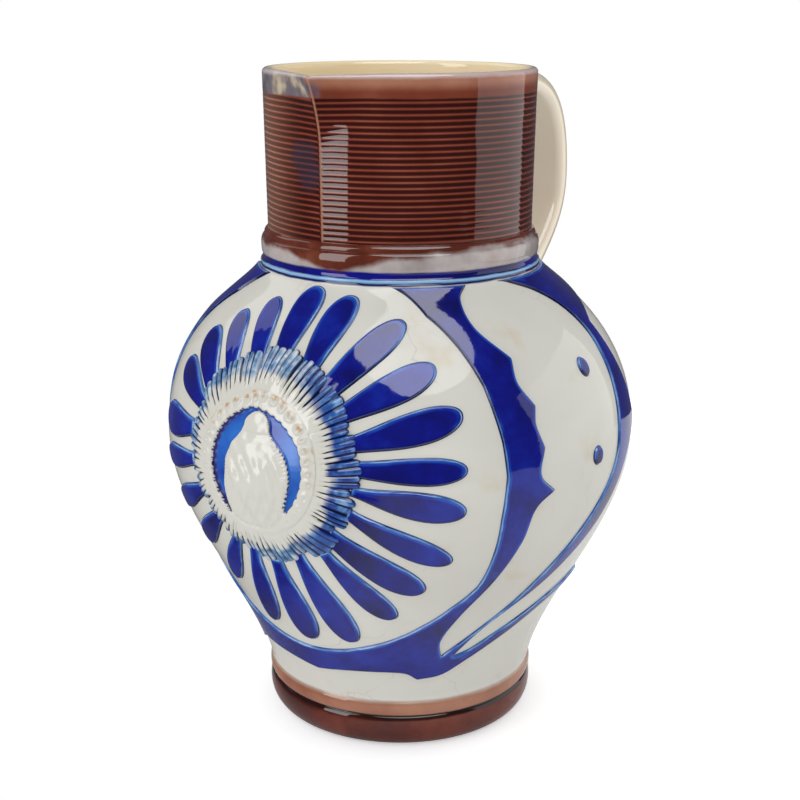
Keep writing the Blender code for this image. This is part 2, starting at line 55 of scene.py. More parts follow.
STAND_RADIUS, STAND_HOLLOW = 0.0607, 0.012
FOOT_RADIUS, FOOT_CREST, FOOT_TOP = 0.0675, 0.0108, 0.0165
FOOT_LINE_DEPTH, FOOT_LINE_WIDTH = 0.0014, 0.0006
RING_CREST = 0.0205
WAIST_RADIUS, WAIST_HEIGHT = 0.0665, 0.0245
BELLY_RADIUS, BELLY_HEIGHT = 0.1147, 0.147
SHOULDER_RADIUS, SHOULDER_HEIGHT = 0.0674, 0.2285
COLLAR_RADIUS, COLLAR_LINE_RADIUS, COLLAR_BAND_RADIUS, LEDGE_RADIUS = 0.0671, 0.0676, 0.0664, 0.0655
NECK_FOOT, NECK_RADIUS = 0.2455, 0.0637
RIM_FOOT, RIM_RADIUS = 0.3090, 0.0648
LIP_RADIUS = 0.0022
BODY_WALL, NECK_WALL, FLOOR = 0.005, 0.0040, 0.009
THROAT_DROP = 0.030
RIDGES, RIDGE_DEPTH = 24, 0.00006
SEAM_SLIP, SEAM_SLIP_TURN = 0.0015, radians(80)
SPOUT_REACH, SPOUT_DEPTH, SPOUT_DIP = 0.148, 0.033, 0.001
CREASE, CREASE_DEPTH = 0.004, 0.02
BARE_FROM = (0.0230, 0.0262)
POT_COLUMNS = 240


def bezier(a, b, c, d, steps):
    """Points of a cubic curve from a to d, both ends included."""
    a, b, c, d = (np.array(point, float) for point in (a, b, c, d))
    t = np.linspace(0.0, 1.0, steps + 1)[:, None]
    return (1 - t) ** 3 * a + 3 * (1 - t) ** 2 * t * b + 3 * (1 - t) * t**2 * c + t**3 * d


def bead(start, crest, end, steps=7):
    """Profile of a rounded moulding: a quarter ellipse out to the crest and one back in."""
    (start_r, start_z), (crest_r, crest_z), (end_r, end_z) = start, crest, end
    turns = np.linspace(0.0, pi / 2, steps + 1)
    rise = [(start_r + (crest_r - start_r) * sin(t), crest_z + (start_z - crest_z) * cos(t)) for t in turns]
    fall = [(end_r + (crest_r - end_r) * cos(t), crest_z + (end_z - crest_z) * sin(t)) for t in turns]
    return rise + fall[1:]


def body_curve(steps):
    """The swelling body from the waist to the shoulder, as (radius, height)."""
    rise, fall = BELLY_HEIGHT - WAIST_HEIGHT, SHOULDER_HEIGHT - BELLY_HEIGHT
    belly = (BELLY_RADIUS, BELLY_HEIGHT)
    lean = (WAIST_RADIUS + 0.186 * (BELLY_RADIUS - WAIST_RADIUS), WAIST_HEIGHT + 0.342 * rise)
    under = (BELLY_RADIUS, BELLY_HEIGHT - 0.345 * rise)
    over = (BELLY_RADIUS, BELLY_HEIGHT + 0.68 * fall)
    close = (SHOULDER_RADIUS, SHOULDER_HEIGHT - 0.08 * fall)
    lower = bezier((WAIST_RADIUS, WAIST_HEIGHT), lean, under, belly, steps)
    upper = bezier(belly, over, close, (SHOULDER_RADIUS, SHOULDER_HEIGHT), steps)
    return np.concatenate([lower, upper[1:]])


def neck_radius(height):
    """Radius over the crests of the neck's ridges, which widens a little to the rim."""
    return NECK_RADIUS + (RIM_RADIUS - NECK_RADIUS) * (height - NECK_FOOT) / (HEIGHT - NECK_FOOT)


def pot_profile():
    """The pot's whole section, from under the foot up the outside and down the inside to the floor."""
    in_line = FOOT_RADIUS - FOOT_LINE_DEPTH
    profile = [(0.0, 0.0), (STAND_RADIUS - STAND_HOLLOW, 0.0), (STAND_RADIUS - 0.001, 0.0)]
    profile += bead((STAND_RADIUS, 0.0003), (FOOT_RADIUS, FOOT_CREST), (in_line, FOOT_TOP))
    ring_foot, waist = (in_line, FOOT_TOP + FOOT_LINE_WIDTH), (WAIST_RADIUS, WAIST_HEIGHT)
    profile += bead(ring_foot, (FOOT_RADIUS, RING_CREST), waist, 5)[:-1]
    profile += [tuple(point) for point in body_curve(44)]
    line = SHOULDER_HEIGHT
    profile += [(0.0669, line + 0.0004)]
    profile += bead((0.0669, line + 0.0006), (COLLAR_LINE_RADIUS, line + 0.0013), (0.0668, line + 0.0022), 3)
    profile += [(COLLAR_BAND_RADIUS, line + 0.0032), (COLLAR_BAND_RADIUS, line + 0.0042)]
    profile += bead((0.0665, line + 0.0052), (COLLAR_RADIUS, line + 0.0100), (0.0656, line + 0.0136), 6)
    profile += bead((0.0654, line + 0.0138), (LEDGE_RADIUS, line + 0.0146), (0.0632, NECK_FOOT), 5)
    lip = HEIGHT - LIP_RADIUS
    for height in np.linspace(NECK_FOOT, RIM_FOOT, RIDGES * 7 + 1)[1:]:
        profile.append((neck_radius(height), height))
    profile += [(neck_radius(height), height) for height in np.linspace(RIM_FOOT, lip, 8)[1:]]
    centre = RIM_RADIUS - LIP_RADIUS
    for turn in np.linspace(0.0, pi, 13)[1:]:
        profile.append((centre + LIP_RADIUS * cos(turn), lip + LIP_RADIUS * sin(turn)))
    throat = NECK_RADIUS - NECK_WALL
    for share in np.linspace(0, 1, 12)[1:]:
        profile.append((centre - LIP_RADIUS + 0.0004 * share, lip - THROAT_DROP * share))
    profile += [(throat, height) for height in np.linspace(HEIGHT - SPOUT_DEPTH - 0.006, NECK_FOOT, 8)]
    inner = body_curve(14)
    slope = np.gradient(inner, axis=0)
    slope /= np.linalg.norm(slope, axis=1)[:, None]
    inner = inner - BODY_WALL * np.stack([slope[:, 1], -slope[:, 0]], axis=1)
    profile += [tuple(point) for point in inner[::-1] if point[1] > FLOOR + 0.006]
    profile += [(0.0575, FLOOR + 0.0022), (0.0530, FLOOR), (0.030, FLOOR), (0.0, FLOOR)]
    return profile


def edit_only(piece):
    """Leaves one object selected and active, as before any tool is used on it by hand."""
    bpy.ops.object.select_all(action="DESELECT")
    piece.select_set(True)
    bpy.context.view_layer.objects.active = piece


def make_piece(name, verts, faces, edges=()):
    """An object of that name with a mesh of those points."""
    mesh = bpy.data.meshes.new(name)
    mesh.from_pydata([tuple(map(float, vert)) for vert in verts], list(edges), list(faces))
    piece = bpy.data.objects.new(name, mesh)
    bpy.context.scene.collection.objects.link(piece)
    return piece


def set_values(piece, name, values):
    """Stores a number for each point of the mesh, for the piece's material to read."""
    attribute = piece.data.attributes.new(name, "FLOAT", "POINT")
    attribute.data.foreach_set("value", np.asarray(values, np.float32))


def clean_mesh(piece, merge=1e-6):
    """Merges doubled points, turns the faces outwards and smooths the shading."""
    edit_only(piece)
    bpy.ops.object.mode_set(mode="EDIT")
    bpy.ops.mesh.select_all(action="SELECT")
    bpy.ops.mesh.remove_doubles(threshold=merge)
    bpy.ops.mesh.normals_make_consistent(inside=False)
    bpy.ops.object.mode_set(mode="OBJECT")
    piece.data.shade_smooth()


def points_of(piece):
    """The mesh's points as rows of x, y and z."""
    flat = np.empty(len(piece.data.vertices) * 3, np.float32)
    piece.data.vertices.foreach_get("co", flat)
    return flat.reshape(-1, 3).astype(float)


profile = pot_profile()
links = [(i, i + 1) for i in range(len(profile) - 1)]
pot = make_piece("turned_pot", [(0.0, -r, z) for r, z in profile], [], links)
edit_only(pot)
bpy.ops.object.mode_set(mode="EDIT")
bpy.ops.mesh.select_all(action="SELECT")
bpy.ops.mesh.spin(steps=POT_COLUMNS, angle=2 * pi, center=(0, 0, 0), axis=(0, 0, 1))
bpy.ops.object.mode_set(mode="OBJECT")
clean_mesh(pot)

# The ridges were cut in the soft clay and slip a little at the mould's seam. The rim was pinched out to the
# spout, between straight flanks that touch the round neck.
points = points_of(pot)
radius = np.hypot(points[:, 0], points[:, 1])
angle = np.arctan2(points[:, 0], -points[:, 1])
height = points[:, 2].copy()
body = body_curve(60)
BODY_RADII, BODY_HEIGHTS = body[:, 0], body[:, 1]
outer_heights = np.concatenate([[0.0, 0.010], BODY_HEIGHTS, [NECK_FOOT, HEIGHT]])
outer_radii = np.concatenate([[FOOT_RADIUS, FOOT_RADIUS], BODY_RADII, [NECK_RADIUS, RIM_RADIUS]])
depth_in = np.interp(height, outer_heights, outer_radii) - radius
inside = np.clip((depth_in - 0.0017) / 0.0006, 0.0, 1.0) * (height > FLOOR - 0.001)

left_of_seam = np.where(angle < 0, np.clip(1 + angle / SEAM_SLIP_TURN, 0.0, 1.0), 0.0)
ridge = (height + SEAM_SLIP * left_of_seam - NECK_FOOT) / (RIM_FOOT - NECK_FOOT) * RIDGES
in_ridges = (height > NECK_FOOT) & (height < RIM_FOOT) & (inside < 0.5)
groove = np.where(in_ridges, 0.5 + 0.5 * np.cos(2 * pi * ridge), 0.0)
groove = 1.0 - (1.0 - groove) ** 1.5
uneven = 1 + 0.25 * np.sin(3 * angle + 0.9 * ridge) * np.sin(1.7 * ridge)
radius = radius - RIDGE_DEPTH * groove * uneven

lift = np.clip((height - (HEIGHT - SPOUT_DEPTH)) / SPOUT_DEPTH, 0.0, None)
creased = np.clip((height - SHOULDER_HEIGHT) / CREASE_DEPTH, 0.0, 1.0)
ratio = 1 + CREASE * creased + (SPOUT_REACH - CREASE) * lift**1.8
reach = np.arccos(1 / ratio)
flank = np.abs(angle) < reach
radius = np.where(flank, radius / np.cos(reach - np.abs(angle)), radius)
dip = SPOUT_DIP * (1 - np.abs(angle) / np.maximum(reach, 1e-6)) * (height / HEIGHT) ** 8
height = height - np.where(flank, dip, 0.0)
shaped = np.stack([radius * np.sin(angle), -radius * np.cos(angle), height], axis=1)
pot.data.vertices.foreach_set("co", shaped.astype(np.float32).ravel())
pot.data.update()
set_values(pot, "groove", groove)
set_values(pot, "inside", inside)


def colour(red, green, blue):
    """A colour given as it looks on the screen, 0 to 255, as the shader's own values."""
    values = [channel / 255 for channel in (red, green, blue)]
    return tuple(v / 12.92 if v <= 0.04045 else ((v + 0.055) / 1.055) ** 2.4 for v in values) + (1.0,)


def add_node(tree, kind, inputs=(), **settings):
    """A shader node with its settings made and its inputs set or linked."""
    made = tree.nodes.new(kind)
    for name, value in settings.items():
        setattr(made, name, value)
    for socket, value in dict(inputs).items():
        if isinstance(value, bpy.types.NodeSocket):
            tree.links.new(value, made.inputs[socket])
        else:
            made.inputs[socket].default_value = value
    return made


def ramp(tree, factor, *stops):
    """A colour ramp through stops of (position, red, green, blue)."""
    made = add_node(tree, "ShaderNodeValToRGB", {"Fac": factor})
    elements = made.color_ramp.elements
    while len(elements) < len(stops):
        elements.new(0.5)
    for element, (position, *tint) in zip(elements, stops):
        element.position, element.color = position, colour(*tint)
    return made.outputs["Color"]


def blend(tree, factor, first, second):
    """Two colours mixed by a factor."""
    return add_node(tree, "ShaderNodeMix", {0: factor, 6: first, 7: second}, data_type="RGBA").outputs[2]


def sums(tree, kind, first, second=0.0, third=0.0):
    """One step of arithmetic on numbers or on what other nodes give."""
    return add_node(tree, "ShaderNodeMath", {0: first, 1: second, 2: third}, operation=kind).outputs[0]


def between(tree, value, low, high):
    """A smooth step from 0 at low to 1 at high."""
    inputs = {"Value": value, "From Min": low, "From Max": high}
    return add_node(tree, "ShaderNodeMapRange", inputs, interpolation_type="SMOOTHSTEP").outputs[0]


def noise(tree, place, scale, detail=2.0, roughness=0.5):
    """Cloudy noise, as many blobs to the metre as the scale says."""
    inputs = {"Vector": place, "Scale": scale, "Detail": detail, "Roughness": roughness}
    return add_node(tree, "ShaderNodeTexNoise", inputs).outputs["Fac"]


def stored(tree, name):
    """The number that the mesh stores under that name."""
    return add_node(tree, "ShaderNodeAttribute", attribute_name=name).outputs["Fac"]


def near(tree, place, centre, size):
    """1 at a point, falling to 0 at that distance from it."""
    away = add_node(tree, "ShaderNodeVectorMath", {0: place, 1: centre}, operation="DISTANCE")
    return between(tree, away.outputs["Value"], size, 0.0)


def glaze(name, roughness=0.045):
    """A new glossy glaze. Returns its material, node tree, shader and Object coordinates."""
    material = bpy.data.materials.new(name)
    material.use_nodes = True
    tree = material.node_tree
    shader = tree.nodes["Principled BSDF"]
    shader.inputs["Roughness"].default_value = roughness
    shader.inputs["IOR"].default_value = 1.52
    place = add_node(tree, "ShaderNodeTexCoord").outputs["Object"]
    return material, tree, shader, place


def finish_glaze(tree, shader, tint, place):
    """Links a glaze's colour and gives its surface the slight waves of melted salt."""
    tree.links.new(tint, shader.inputs["Base Color"])
    waves = noise(tree, place, 55.0, 1.0)
    peel = noise(tree, place, 420.0, 1.0)
    rise = sums(tree, "MULTIPLY_ADD", peel, 0.06, waves)
    bump = add_node(tree, "ShaderNodeBump", {"Height": rise, "Distance": 0.0006, "Strength": 0.32})
    tree.links.new(bump.outputs[0], shader.inputs["Normal"])


def cream_tint(tree, place):
    """Pale stoneware seen through clear glaze, with faint clouds, hair cracks, pits and amber specks."""
    clouds = noise(tree, place, 14.0, 3.0)
    tint = ramp(tree, clouds, (0.3, 208, 206, 196), (0.7, 218, 217, 208))
    streak = noise(tree, place, 38.0, 3.0)
    tint = blend(tree, between(tree, streak, 0.60, 0.80), tint, colour(205, 194, 172))
    warped = add_node(tree, "ShaderNodeTexNoise", {"Vector": place, "Scale": 30.0, "Detail": 3.0})
    bent = {0: 0.06, 4: place, 5: warped.outputs["Color"]}
    bent = add_node(tree, "ShaderNodeMix", bent, data_type="VECTOR").outputs[1]
    cells = {"Vector": bent, "Scale": 21.0}
    cells = add_node(tree, "ShaderNodeTexVoronoi", cells, feature="DISTANCE_TO_EDGE")
    crack = between(tree, cells.outputs["Distance"], 0.010, 0.002)
    patches = between(tree, noise(tree, place, 17.0), 0.52, 0.62)
    crack = sums(tree, "MULTIPLY", crack, sums(tree, "MULTIPLY", patches, 0.20))
    tint = blend(tree, crack, tint, colour(150, 125, 90))
    spots = add_node(tree, "ShaderNodeTexVoronoi", {"Vector": place, "Scale": 75.0})
    pit = between(tree, spots.outputs["Distance"], 0.055, 0.030)
    rare = between(tree, noise(tree, place, 40.0), 0.60, 0.63)
    return blend(tree, sums(tree, "MULTIPLY", pit, rare), tint, colour(110, 85, 55))


def foot_tint(tree, z, streaks, cream):
    """Brown slip on the foot, nearly black in its line and thin on the bead, under the bare cream body."""
    foot = ramp(tree, streaks, (0.25, 46, 12, 6), (0.55, 90, 30, 15), (0.8, 120, 52, 28))
    ring = ramp(tree, streaks, (0.3, 140, 84, 62), (0.7, 176, 124, 98))
    tint = blend(tree, between(tree, z, 0.0140, 0.0158), foot, colour(34, 14, 10))
    tint = blend(tree, between(tree, z, 0.0168, 0.0180), tint, ring)
    return blend(tree, between(tree, z, *BARE_FROM), tint, cream)


def collar_tint(tree, place, z, streaks, cream):
    """A dark line, a pale blue one and a blue band on the shoulder, then grey clay under drips of slip."""
    line = SHOULDER_HEIGHT
    band = ramp(tree, noise(tree, place, 50.0), (0.35, 8, 6, 76), (0.65, 14, 16, 130))
    grey = ramp(tree, streaks, (0.3, 132, 120, 116), (0.55, 182, 174, 171), (0.8, 152, 120, 104))
    ledge = ramp(tree, streaks, (0.3, 62, 20, 12), (0.55, 96, 42, 28), (0.8, 138, 82, 60))
    tint = blend(tree, between(tree, z, line - 0.0010, line - 0.0002), cream, colour(18, 22, 92))
    tint = blend(tree, between(tree, z, line + 0.0002, line + 0.0008), tint, colour(136, 180, 218))
    tint = blend(tree, between(tree, z, line + 0.0018, line + 0.0024), tint, band)
    tint = blend(tree, between(tree, z, line + 0.0050, line + 0.0060), tint, grey)
    drip = sums(tree, "MULTIPLY_ADD", noise(tree, place, 30.0, 4.0), 0.016, -0.0085)
    drip = sums(tree, "MULTIPLY_ADD", near(tree, place, (0.004, -0.066, 0.243), 0.040), 0.0075, drip)
    dripping = sums(tree, "ADD", z, drip)
    return blend(tree, between(tree, dripping, line + 0.0105, line + 0.0140), tint, ledge)


def rim_tint(tree, place, z, streaks, patchy):
    """The rim's brown slip, thinner upwards, with grey ash left of the spout and a painted highlight along the
    lip.
    """
    slip = ramp(tree, streaks, (0.3, 104, 46, 28), (0.55, 118, 56, 38), (0.8, 140, 84, 66))
    worn = ramp(tree, streaks, (0.3, 150, 94, 70), (0.7, 176, 126, 104))
    tint = blend(tree, between(tree, z, RIM_FOOT + 0.0025, RIM_FOOT + 0.0075), slip, worn)
    clouds = noise(tree, place, 90.0, 2.0)
    ashes = ramp(tree, clouds, (0.32, 84, 84, 100), (0.52, 118, 108, 110), (0.68, 196, 180, 154))
    ash = sums(tree, "ADD", near(tree, place, (-0.026, -0.062, 0.3130), 0.046), patchy)
    tint = blend(tree, between(tree, ash, 0.40, 0.62), tint, ashes)
    # Painted highlight: a pale line all round the top of the rim, where the lip mirrors the light above.
    lip_highlight = between(tree, z, RIM_FOOT + 0.0080, RIM_FOOT + 0.0102)
    return blend(tree, sums(tree, "MULTIPLY", lip_highlight, 0.75), tint, colour(208, 196, 194))


def neck_tint(tree, place, axes, z, streaks):
    """The neck's brown slip, paler on the crests, dark in the grooves, with a grey run, and painted paler to
    the left as painted light.
    """
    groove, sideways = stored(tree, "groove"), axes.outputs["X"]
    crest = ramp(tree, streaks, (0.25, 104, 48, 36), (0.5, 124, 62, 46), (0.75, 146, 88, 70))
    # Painted light: the crests are painted paler towards the left side, where more light falls.
    left_lit_crest = ramp(tree, streaks, (0.3, 126, 70, 54), (0.5, 162, 112, 92), (0.7, 190, 146, 122))
    crest = blend(tree, between(tree, sideways, -0.012, -0.045), crest, left_lit_crest)
    flow = ramp(tree, noise(tree, place, 12.0, 3.0), (0.35, 76, 22, 10), (0.65, 100, 36, 22))
    pool = ramp(tree, streaks, (0.3, 34, 4, 2), (0.7, 54, 14, 8))
    tint = blend(tree, between(tree, groove, 0.0, 0.45), crest, flow)
    tint = blend(tree, between(tree, groove, 0.35, 0.85), tint, pool)
    # Painted light: all of the slip is painted paler towards the left side.
    thin_wash_and_left_light = sums(tree, "MULTIPLY", between(tree, sideways, -0.008, -0.045), 0.26)
    tint = blend(tree, thin_wash_and_left_light, tint, colour(186, 134, 110))
    patchy = sums(tree, "MULTIPLY_ADD", noise(tree, place, 60.0, 3.0), 0.9, -0.25)
    run = sums(tree, "ADD", near(tree, place, (-0.008, -0.066, 0.2800), 0.030), patchy)
    run = sums(tree, "MULTIPLY", between(tree, run, 0.78, 1.15), 0.55)
    tint = blend(tree, run, tint, colour(50, 48, 64))
    rim = rim_tint(tree, place, z, streaks, patchy)
    tint = blend(tree, between(tree, z, RIM_FOOT - 0.0002, RIM_FOOT + 0.0008), tint, rim)
    seam = between(tree, sums(tree, "ABSOLUTE", sideways), 0.0008, 0.0003)
    seam = sums(tree, "MULTIPLY", seam, between(tree, axes.outputs["Y"], 0.0, -0.01))
    return blend(tree, sums(tree, "MULTIPLY", seam, 0.6), tint, colour(186, 134, 108))


def pot_glaze():
    """The clear glaze over the pot's bands of slip and its cream lining, less glossy on the bare body."""
    material, tree, shader, place = glaze("pot_glaze")
    axes = add_node(tree, "ShaderNodeSeparateXYZ", {0: place})
    waver = sums(tree, "MULTIPLY_ADD", noise(tree, place, 70.0), 0.0012, -0.0006)
    z = sums(tree, "ADD", axes.outputs["Z"], waver)
    streaks = noise(tree, place, 26.0, 4.0, 0.6)
    cream = cream_tint(tree, place)
    collar = collar_tint(tree, place, z, streaks, cream)
    neck = neck_tint(tree, place, axes, z, streaks)
    top = blend(tree, between(tree, z, NECK_FOOT - 0.0004, NECK_FOOT + 0.0003), collar, neck)
    upper_half = between(tree, z, 0.39 * HEIGHT, 0.41 * HEIGHT)
    outside = blend(tree, upper_half, foot_tint(tree, z, streaks, cream), top)
    lining = ramp(tree, noise(tree, place, 12.0), (0.3, 244, 224, 182), (0.7, 252, 237, 204))
    finish_glaze(tree, shader, blend(tree, stored(tree, "inside"), outside, lining), place)
    under_collar = between(tree, z, SHOULDER_HEIGHT, SHOULDER_HEIGHT - 0.001)
    bare = sums(tree, "MULTIPLY", between(tree, z, *BARE_FROM), under_collar)
    tree.links.new(sums(tree, "MULTIPLY_ADD", bare, -0.24, 0.5), shader.inputs["Specular IOR Level"])
    return material


pot.data.materials.append(pot_glaze())
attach(pot, "root")
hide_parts("jug")

# The petals of the medallion: 22 low pads pressed in a mould and laid on the belly, under cobalt glaze that
# breaks to pale blue on their arrises and pools dark along their feet, with painted light on the edges that
# face up and painted shade on those that face down. No two are quite alike: each has its root and tip, across
# and up, and half its width at the tip and the root, in millimetres.
ROSETTE_HEIGHT = 0.155
RELIEF, RELIEF_FOOT = 0.0011, 0.00004
PETALS = (
    (0.7, 202.7, 1.0, 226.6, 7.6, 4.6), (16.8, 198.5, 19.5, 224.2, 7.6, 4.3),
    (28.3, 189.5, 46.4, 215.2, 7.4, 5.0), (39.0, 181.4, 65.8, 198.0, 7.4, 4.2),
    (45.5, 168.9, 79.9, 179.5, 7.6, 3.8), (48.2, 157.8, 84.6, 156.4, 6.3, 3.7),
    (48.2, 147.1, 84.2, 137.4, 6.9, 2.4), (45.5, 135.1, 76.0, 112.0, 6.6, 2.9),
    (34.8, 124.0, 62.6, 95.3, 8.1, 4.6), (30.2, 112.9, 46.9, 78.6, 7.0, 3.2),
    (15.8, 111.0, 24.2, 61.5, 8.2, 3.2), (2.0, 103.6, 1.5, 58.7, 8.4, 3.8),
    (-10.1, 109.0, -20.4, 63.2, 7.0, 3.0), (-19.0, 114.4, -39.0, 83.2, 5.8, 2.6),
    (-30.2, 122.1, -54.0, 101.0, 6.4, 3.4), (-39.8, 133.6, -70.0, 117.0, 6.2, 3.2),
    (-46.6, 146.7, -77.0, 139.5, 6.2, 3.4), (-48.0, 161.5, -78.0, 158.5, 8.2, 4.2),
    (-41.6, 175.1, -64.8, 186.5, 7.2, 3.6), (-37.6, 185.1, -52.8, 202.7, 7.9, 4.8),
    (-26.3, 193.7, -36.0, 213.0, 6.2, 4.0), (-11.7, 197.8, -19.3, 220.2, 6.2, 4.2),
)
PETAL_TUCK = 0.0045
PETAL_WIDEST = 0.70
PETAL_HOLLOW, PETAL_HOLLOW_REACH = 0.00012, 0.006
PETAL_RINGS = (0.0, 0.00022, 0.00045, 0.00065, 0.00085, 0.00105, 0.0013, 0.0017, 0.0024, 0.0035, 0.005, 0.0066)


def body_radius(height):
    """Radius of the plain body at a height."""
    return np.interp(height, BODY_HEIGHTS, BODY_RADII)


def body_slope(height):
    """How fast the plain body's radius grows with the height."""
    return (body_radius(height + 5e-4) - body_radius(height - 5e-4)) / 1e-3


def on_pot(angle, height, rise):
    """Points on the body, raised along its normal."""
    slope = body_slope(height)
    length = np.hypot(1.0, slope)
    out = body_radius(height) + rise / length
    return np.stack([out * np.sin(angle), -out * np.cos(angle), height - rise * slope / length], axis=-1)


def facing_angle(across, height):
    """Angle round the axis of a point that someone facing the medallion sees that far to the side."""
    return np.arcsin(np.clip(across / body_radius(height), -1.0, 1.0))


def relief_rise(inward):
    """Height of a moulded pad by the distance from its outline: a thin foot, a steep wall, a soft arris."""
    share = np.clip((inward - 0.0002) / 0.0008, 0.0, 1.0)
    return RELIEF_FOOT + (RELIEF - RELIEF_FOOT) * share * share * (3 - 2 * share)


def petal_ring(petal, shrink):
    """One ring of a petal, inside its outline by a distance. Its root runs on beneath the rosette's ruff."""
    root, tip = np.array(petal[:2]) / 1000, np.array(petal[2:4]) / 1000
    along = (tip - root) / np.linalg.norm(tip - root)
    side = np.array([along[1], -along[0]])
    start = root + along * (shrink - PETAL_TUCK)
    length = np.linalg.norm(tip - root) + PETAL_TUCK - 2 * shrink
    half = max(petal[4] / 1000 - shrink, 0.0002)
    half_root = max(petal[5] / 1000 - shrink, 0.0002)
    widest = PETAL_WIDEST * (length + 2 * shrink) - shrink
    shares = np.linspace(0.0, 1.0, 15)
    lower = [(widest * s, half_root + (half - half_root) * (1 - cos(pi * s)) ** 0.8 / 2**0.8) for s in shares]
    turns = np.linspace(0.0, pi / 2, 12)[1:]
    upper = [(widest + (length - widest) * sin(t), half * cos(t) ** 0.9) for t in turns]
    right = [start + along * a + side * w for a, w in lower + upper]
    left = [start + along * a - side * w for a, w in reversed(lower + upper[:-1])]
    return np.array(right + left)


def lowness(across, up):
    """How far an edge faces down, from -1 to 1: where the glaze ran and pooled, and where the cobalt gets
    painted shade instead of painted light.
    """
    return (-0.15 * across - 0.98 * up) / np.maximum(np.hypot(across, up), 1e-9)


verts, faces, edge, low = [], [], [], []
for petal in PETALS:
    first = len(verts)
    outline = petal_ring(petal, 0.0)
    count, half = len(outline), len(outline) // 2
    step = np.roll(outline, -1, axis=0) - np.roll(outline, 1, axis=0)
    facing = lowness(step[:, 1], -step[:, 0])
    for shrink in PETAL_RINGS:
        flat = petal_ring(petal, shrink)
        rise = relief_rise(shrink) - PETAL_HOLLOW * min(shrink / PETAL_HOLLOW_REACH, 1.0)
        verts += list(on_pot(facing_angle(flat[:, 0], flat[:, 1]), flat[:, 1], rise))
        edge += [shrink * 1000] * count
        low += list(facing)
    for ring in range(len(PETAL_RINGS) - 1):
        for i in range(count):
            a, b = first + ring * count + i, first + ring * count + (i + 1) % count
            faces.append((a, b, b + count, a + count))
    last = first + (len(PETAL_RINGS) - 1) * count
    for i in range(half - 1):
        faces.append((last + i, last + i + 1, last + count - 2 - i, last + count - 1 - i))
    faces.append((last + half - 1, last + half, last + half + 1))
petals = make_piece("petals", verts, faces)
set_values(petals, "edge", edge)
set_values(petals, "low", low)
clean_mesh(petals, 1e-7)


def cobalt_glaze(name):
    """Cobalt under clear glaze: dark at the foot, pale on the arris, mottled deep blue within, and painted
    lighter on edges that face up and darker on edges that face down, as light and shade would fall.
    """
    material, tree, shader, place = glaze(name)
    wander = sums(tree, "MULTIPLY_ADD", noise(tree, place, 130.0, 3.0), 0.7, -0.35)
    edge = sums(tree, "ADD", stored(tree, "edge"), wander)
    pool = between(tree, sums(tree, "MULTIPLY_ADD", wander, 1.2, stored(tree, "low")), -0.35, 0.75)
    clouds = noise(tree, place, 34.0, 4.0, 0.6)
    deep = ramp(tree, clouds, (0.30, 8, 8, 74), (0.50, 10, 18, 122), (0.72, 16, 42, 156))
    lit_edge_blue = ramp(tree, noise(tree, place, 60.0, 2.0), (0.35, 12, 34, 146), (0.7, 36, 90, 190))
    # Painted light: a brighter blue just inside the edges that face up.
    lit = sums(tree, "MULTIPLY", between(tree, edge, 2.6, 1.2), between(tree, pool, 1.0, 0.3))
    tint = blend(tree, lit, deep, lit_edge_blue)
    # Painted shade: a darker blue just inside the edges that face down.
    low_edge_shade = sums(tree, "MULTIPLY", between(tree, edge, 2.2, 1.2), pool)
    tint = blend(tree, sums(tree, "MULTIPLY", low_edge_shade, 0.55), tint, colour(8, 8, 72))
    # The pale arris is thinned glaze, with painted light that makes it strongest on the edges that face up.
    pale_and_lit = ramp(tree, noise(tree, place, 90.0, 2.0), (0.35, 54, 102, 172), (0.65, 138, 182, 218))
    thin_and_lit = sums(tree, "MULTIPLY_ADD", pool, -0.75, 1.0)
    arris = sums(tree, "MULTIPLY", between(tree, edge, 1.02, 0.80), thin_and_lit)
    tint = blend(tree, arris, tint, pale_and_lit)
    wall = ramp(tree, noise(tree, place, 80.0, 2.0), (0.35, 24, 44, 120), (0.65, 86, 130, 196))
    tint = blend(tree, between(tree, edge, 0.62, 0.45), tint, wall)
    # The dark foot is pooled glaze, with painted shade that makes it wider and darker on the edges that face
    # down.
    foot = sums(tree, "MULTIPLY_ADD", pool, 0.62, 0.16)
    dark = between(tree, sums(tree, "SUBTRACT", edge, foot), 0.10, -0.10)
    dark = sums(tree, "MULTIPLY", dark, sums(tree, "MULTIPLY_ADD", pool, 0.5, 0.5))
    finish_glaze(tree, shader, blend(tree, dark, tint, colour(12, 10, 60)), place)
    return material


petals.data.materials.append(cobalt_glaze("petal_cobalt"))
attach(petals, "root")
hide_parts("jug")

# The band round the medallion, scalloped outside, and the bands that branch from it over each side: one
# moulded strip about a millimetre thick, luted to the belly and filled with the same cobalt. Its inner edge is
# given by the turn from the top, in degrees, and the distance from the medallion's middle, in millimetres, and
# its other edges by degrees round the pot and millimetres up. It ends at the collar.
TOP = SHOULDER_HEIGHT - 0.0009
MEDALLION_HEIGHT = 0.142
MEDALLION_TURNS = [0, 23, 35, 49, 60, 75, 84, 96, 108, 120, 130, 141, 160, 180]
MEDALLION_REACH = [92.4, 91.9, 91.3, 93.8, 95.6, 96.5, 96.3, 94.2, 93.0, 92.1, 89.4, 87.9, 87.3, 88.3]
BAND_FROM = radians(16)
BAND_BOTTOM = 0.0395
STRAPWORK_SPACING = 0.0012
FIELD_RINGS = (0.0002, 0.0004, 0.0006, 0.0008, 0.0010, 0.0014, 0.0021)
FIELD_MARGIN = 0.0033
SCALLOPS = (
    ((58.7, 227.6), (54.5, 222), (55.5, 212), (63.2, 199.5)), ((63.2, 199.5), (62.7, 190), (66.0, 180)),
    ((66.0, 180), (65.3, 172), (67.0, 162)), ((67.0, 162), (65.8, 150), (69.8, 141.5)),
    ((69.8, 141.5), (64.8, 134), (62.8, 118), (58.0, 98), (51.0, 79), (46.5, 63), (47.5, 53)),
)
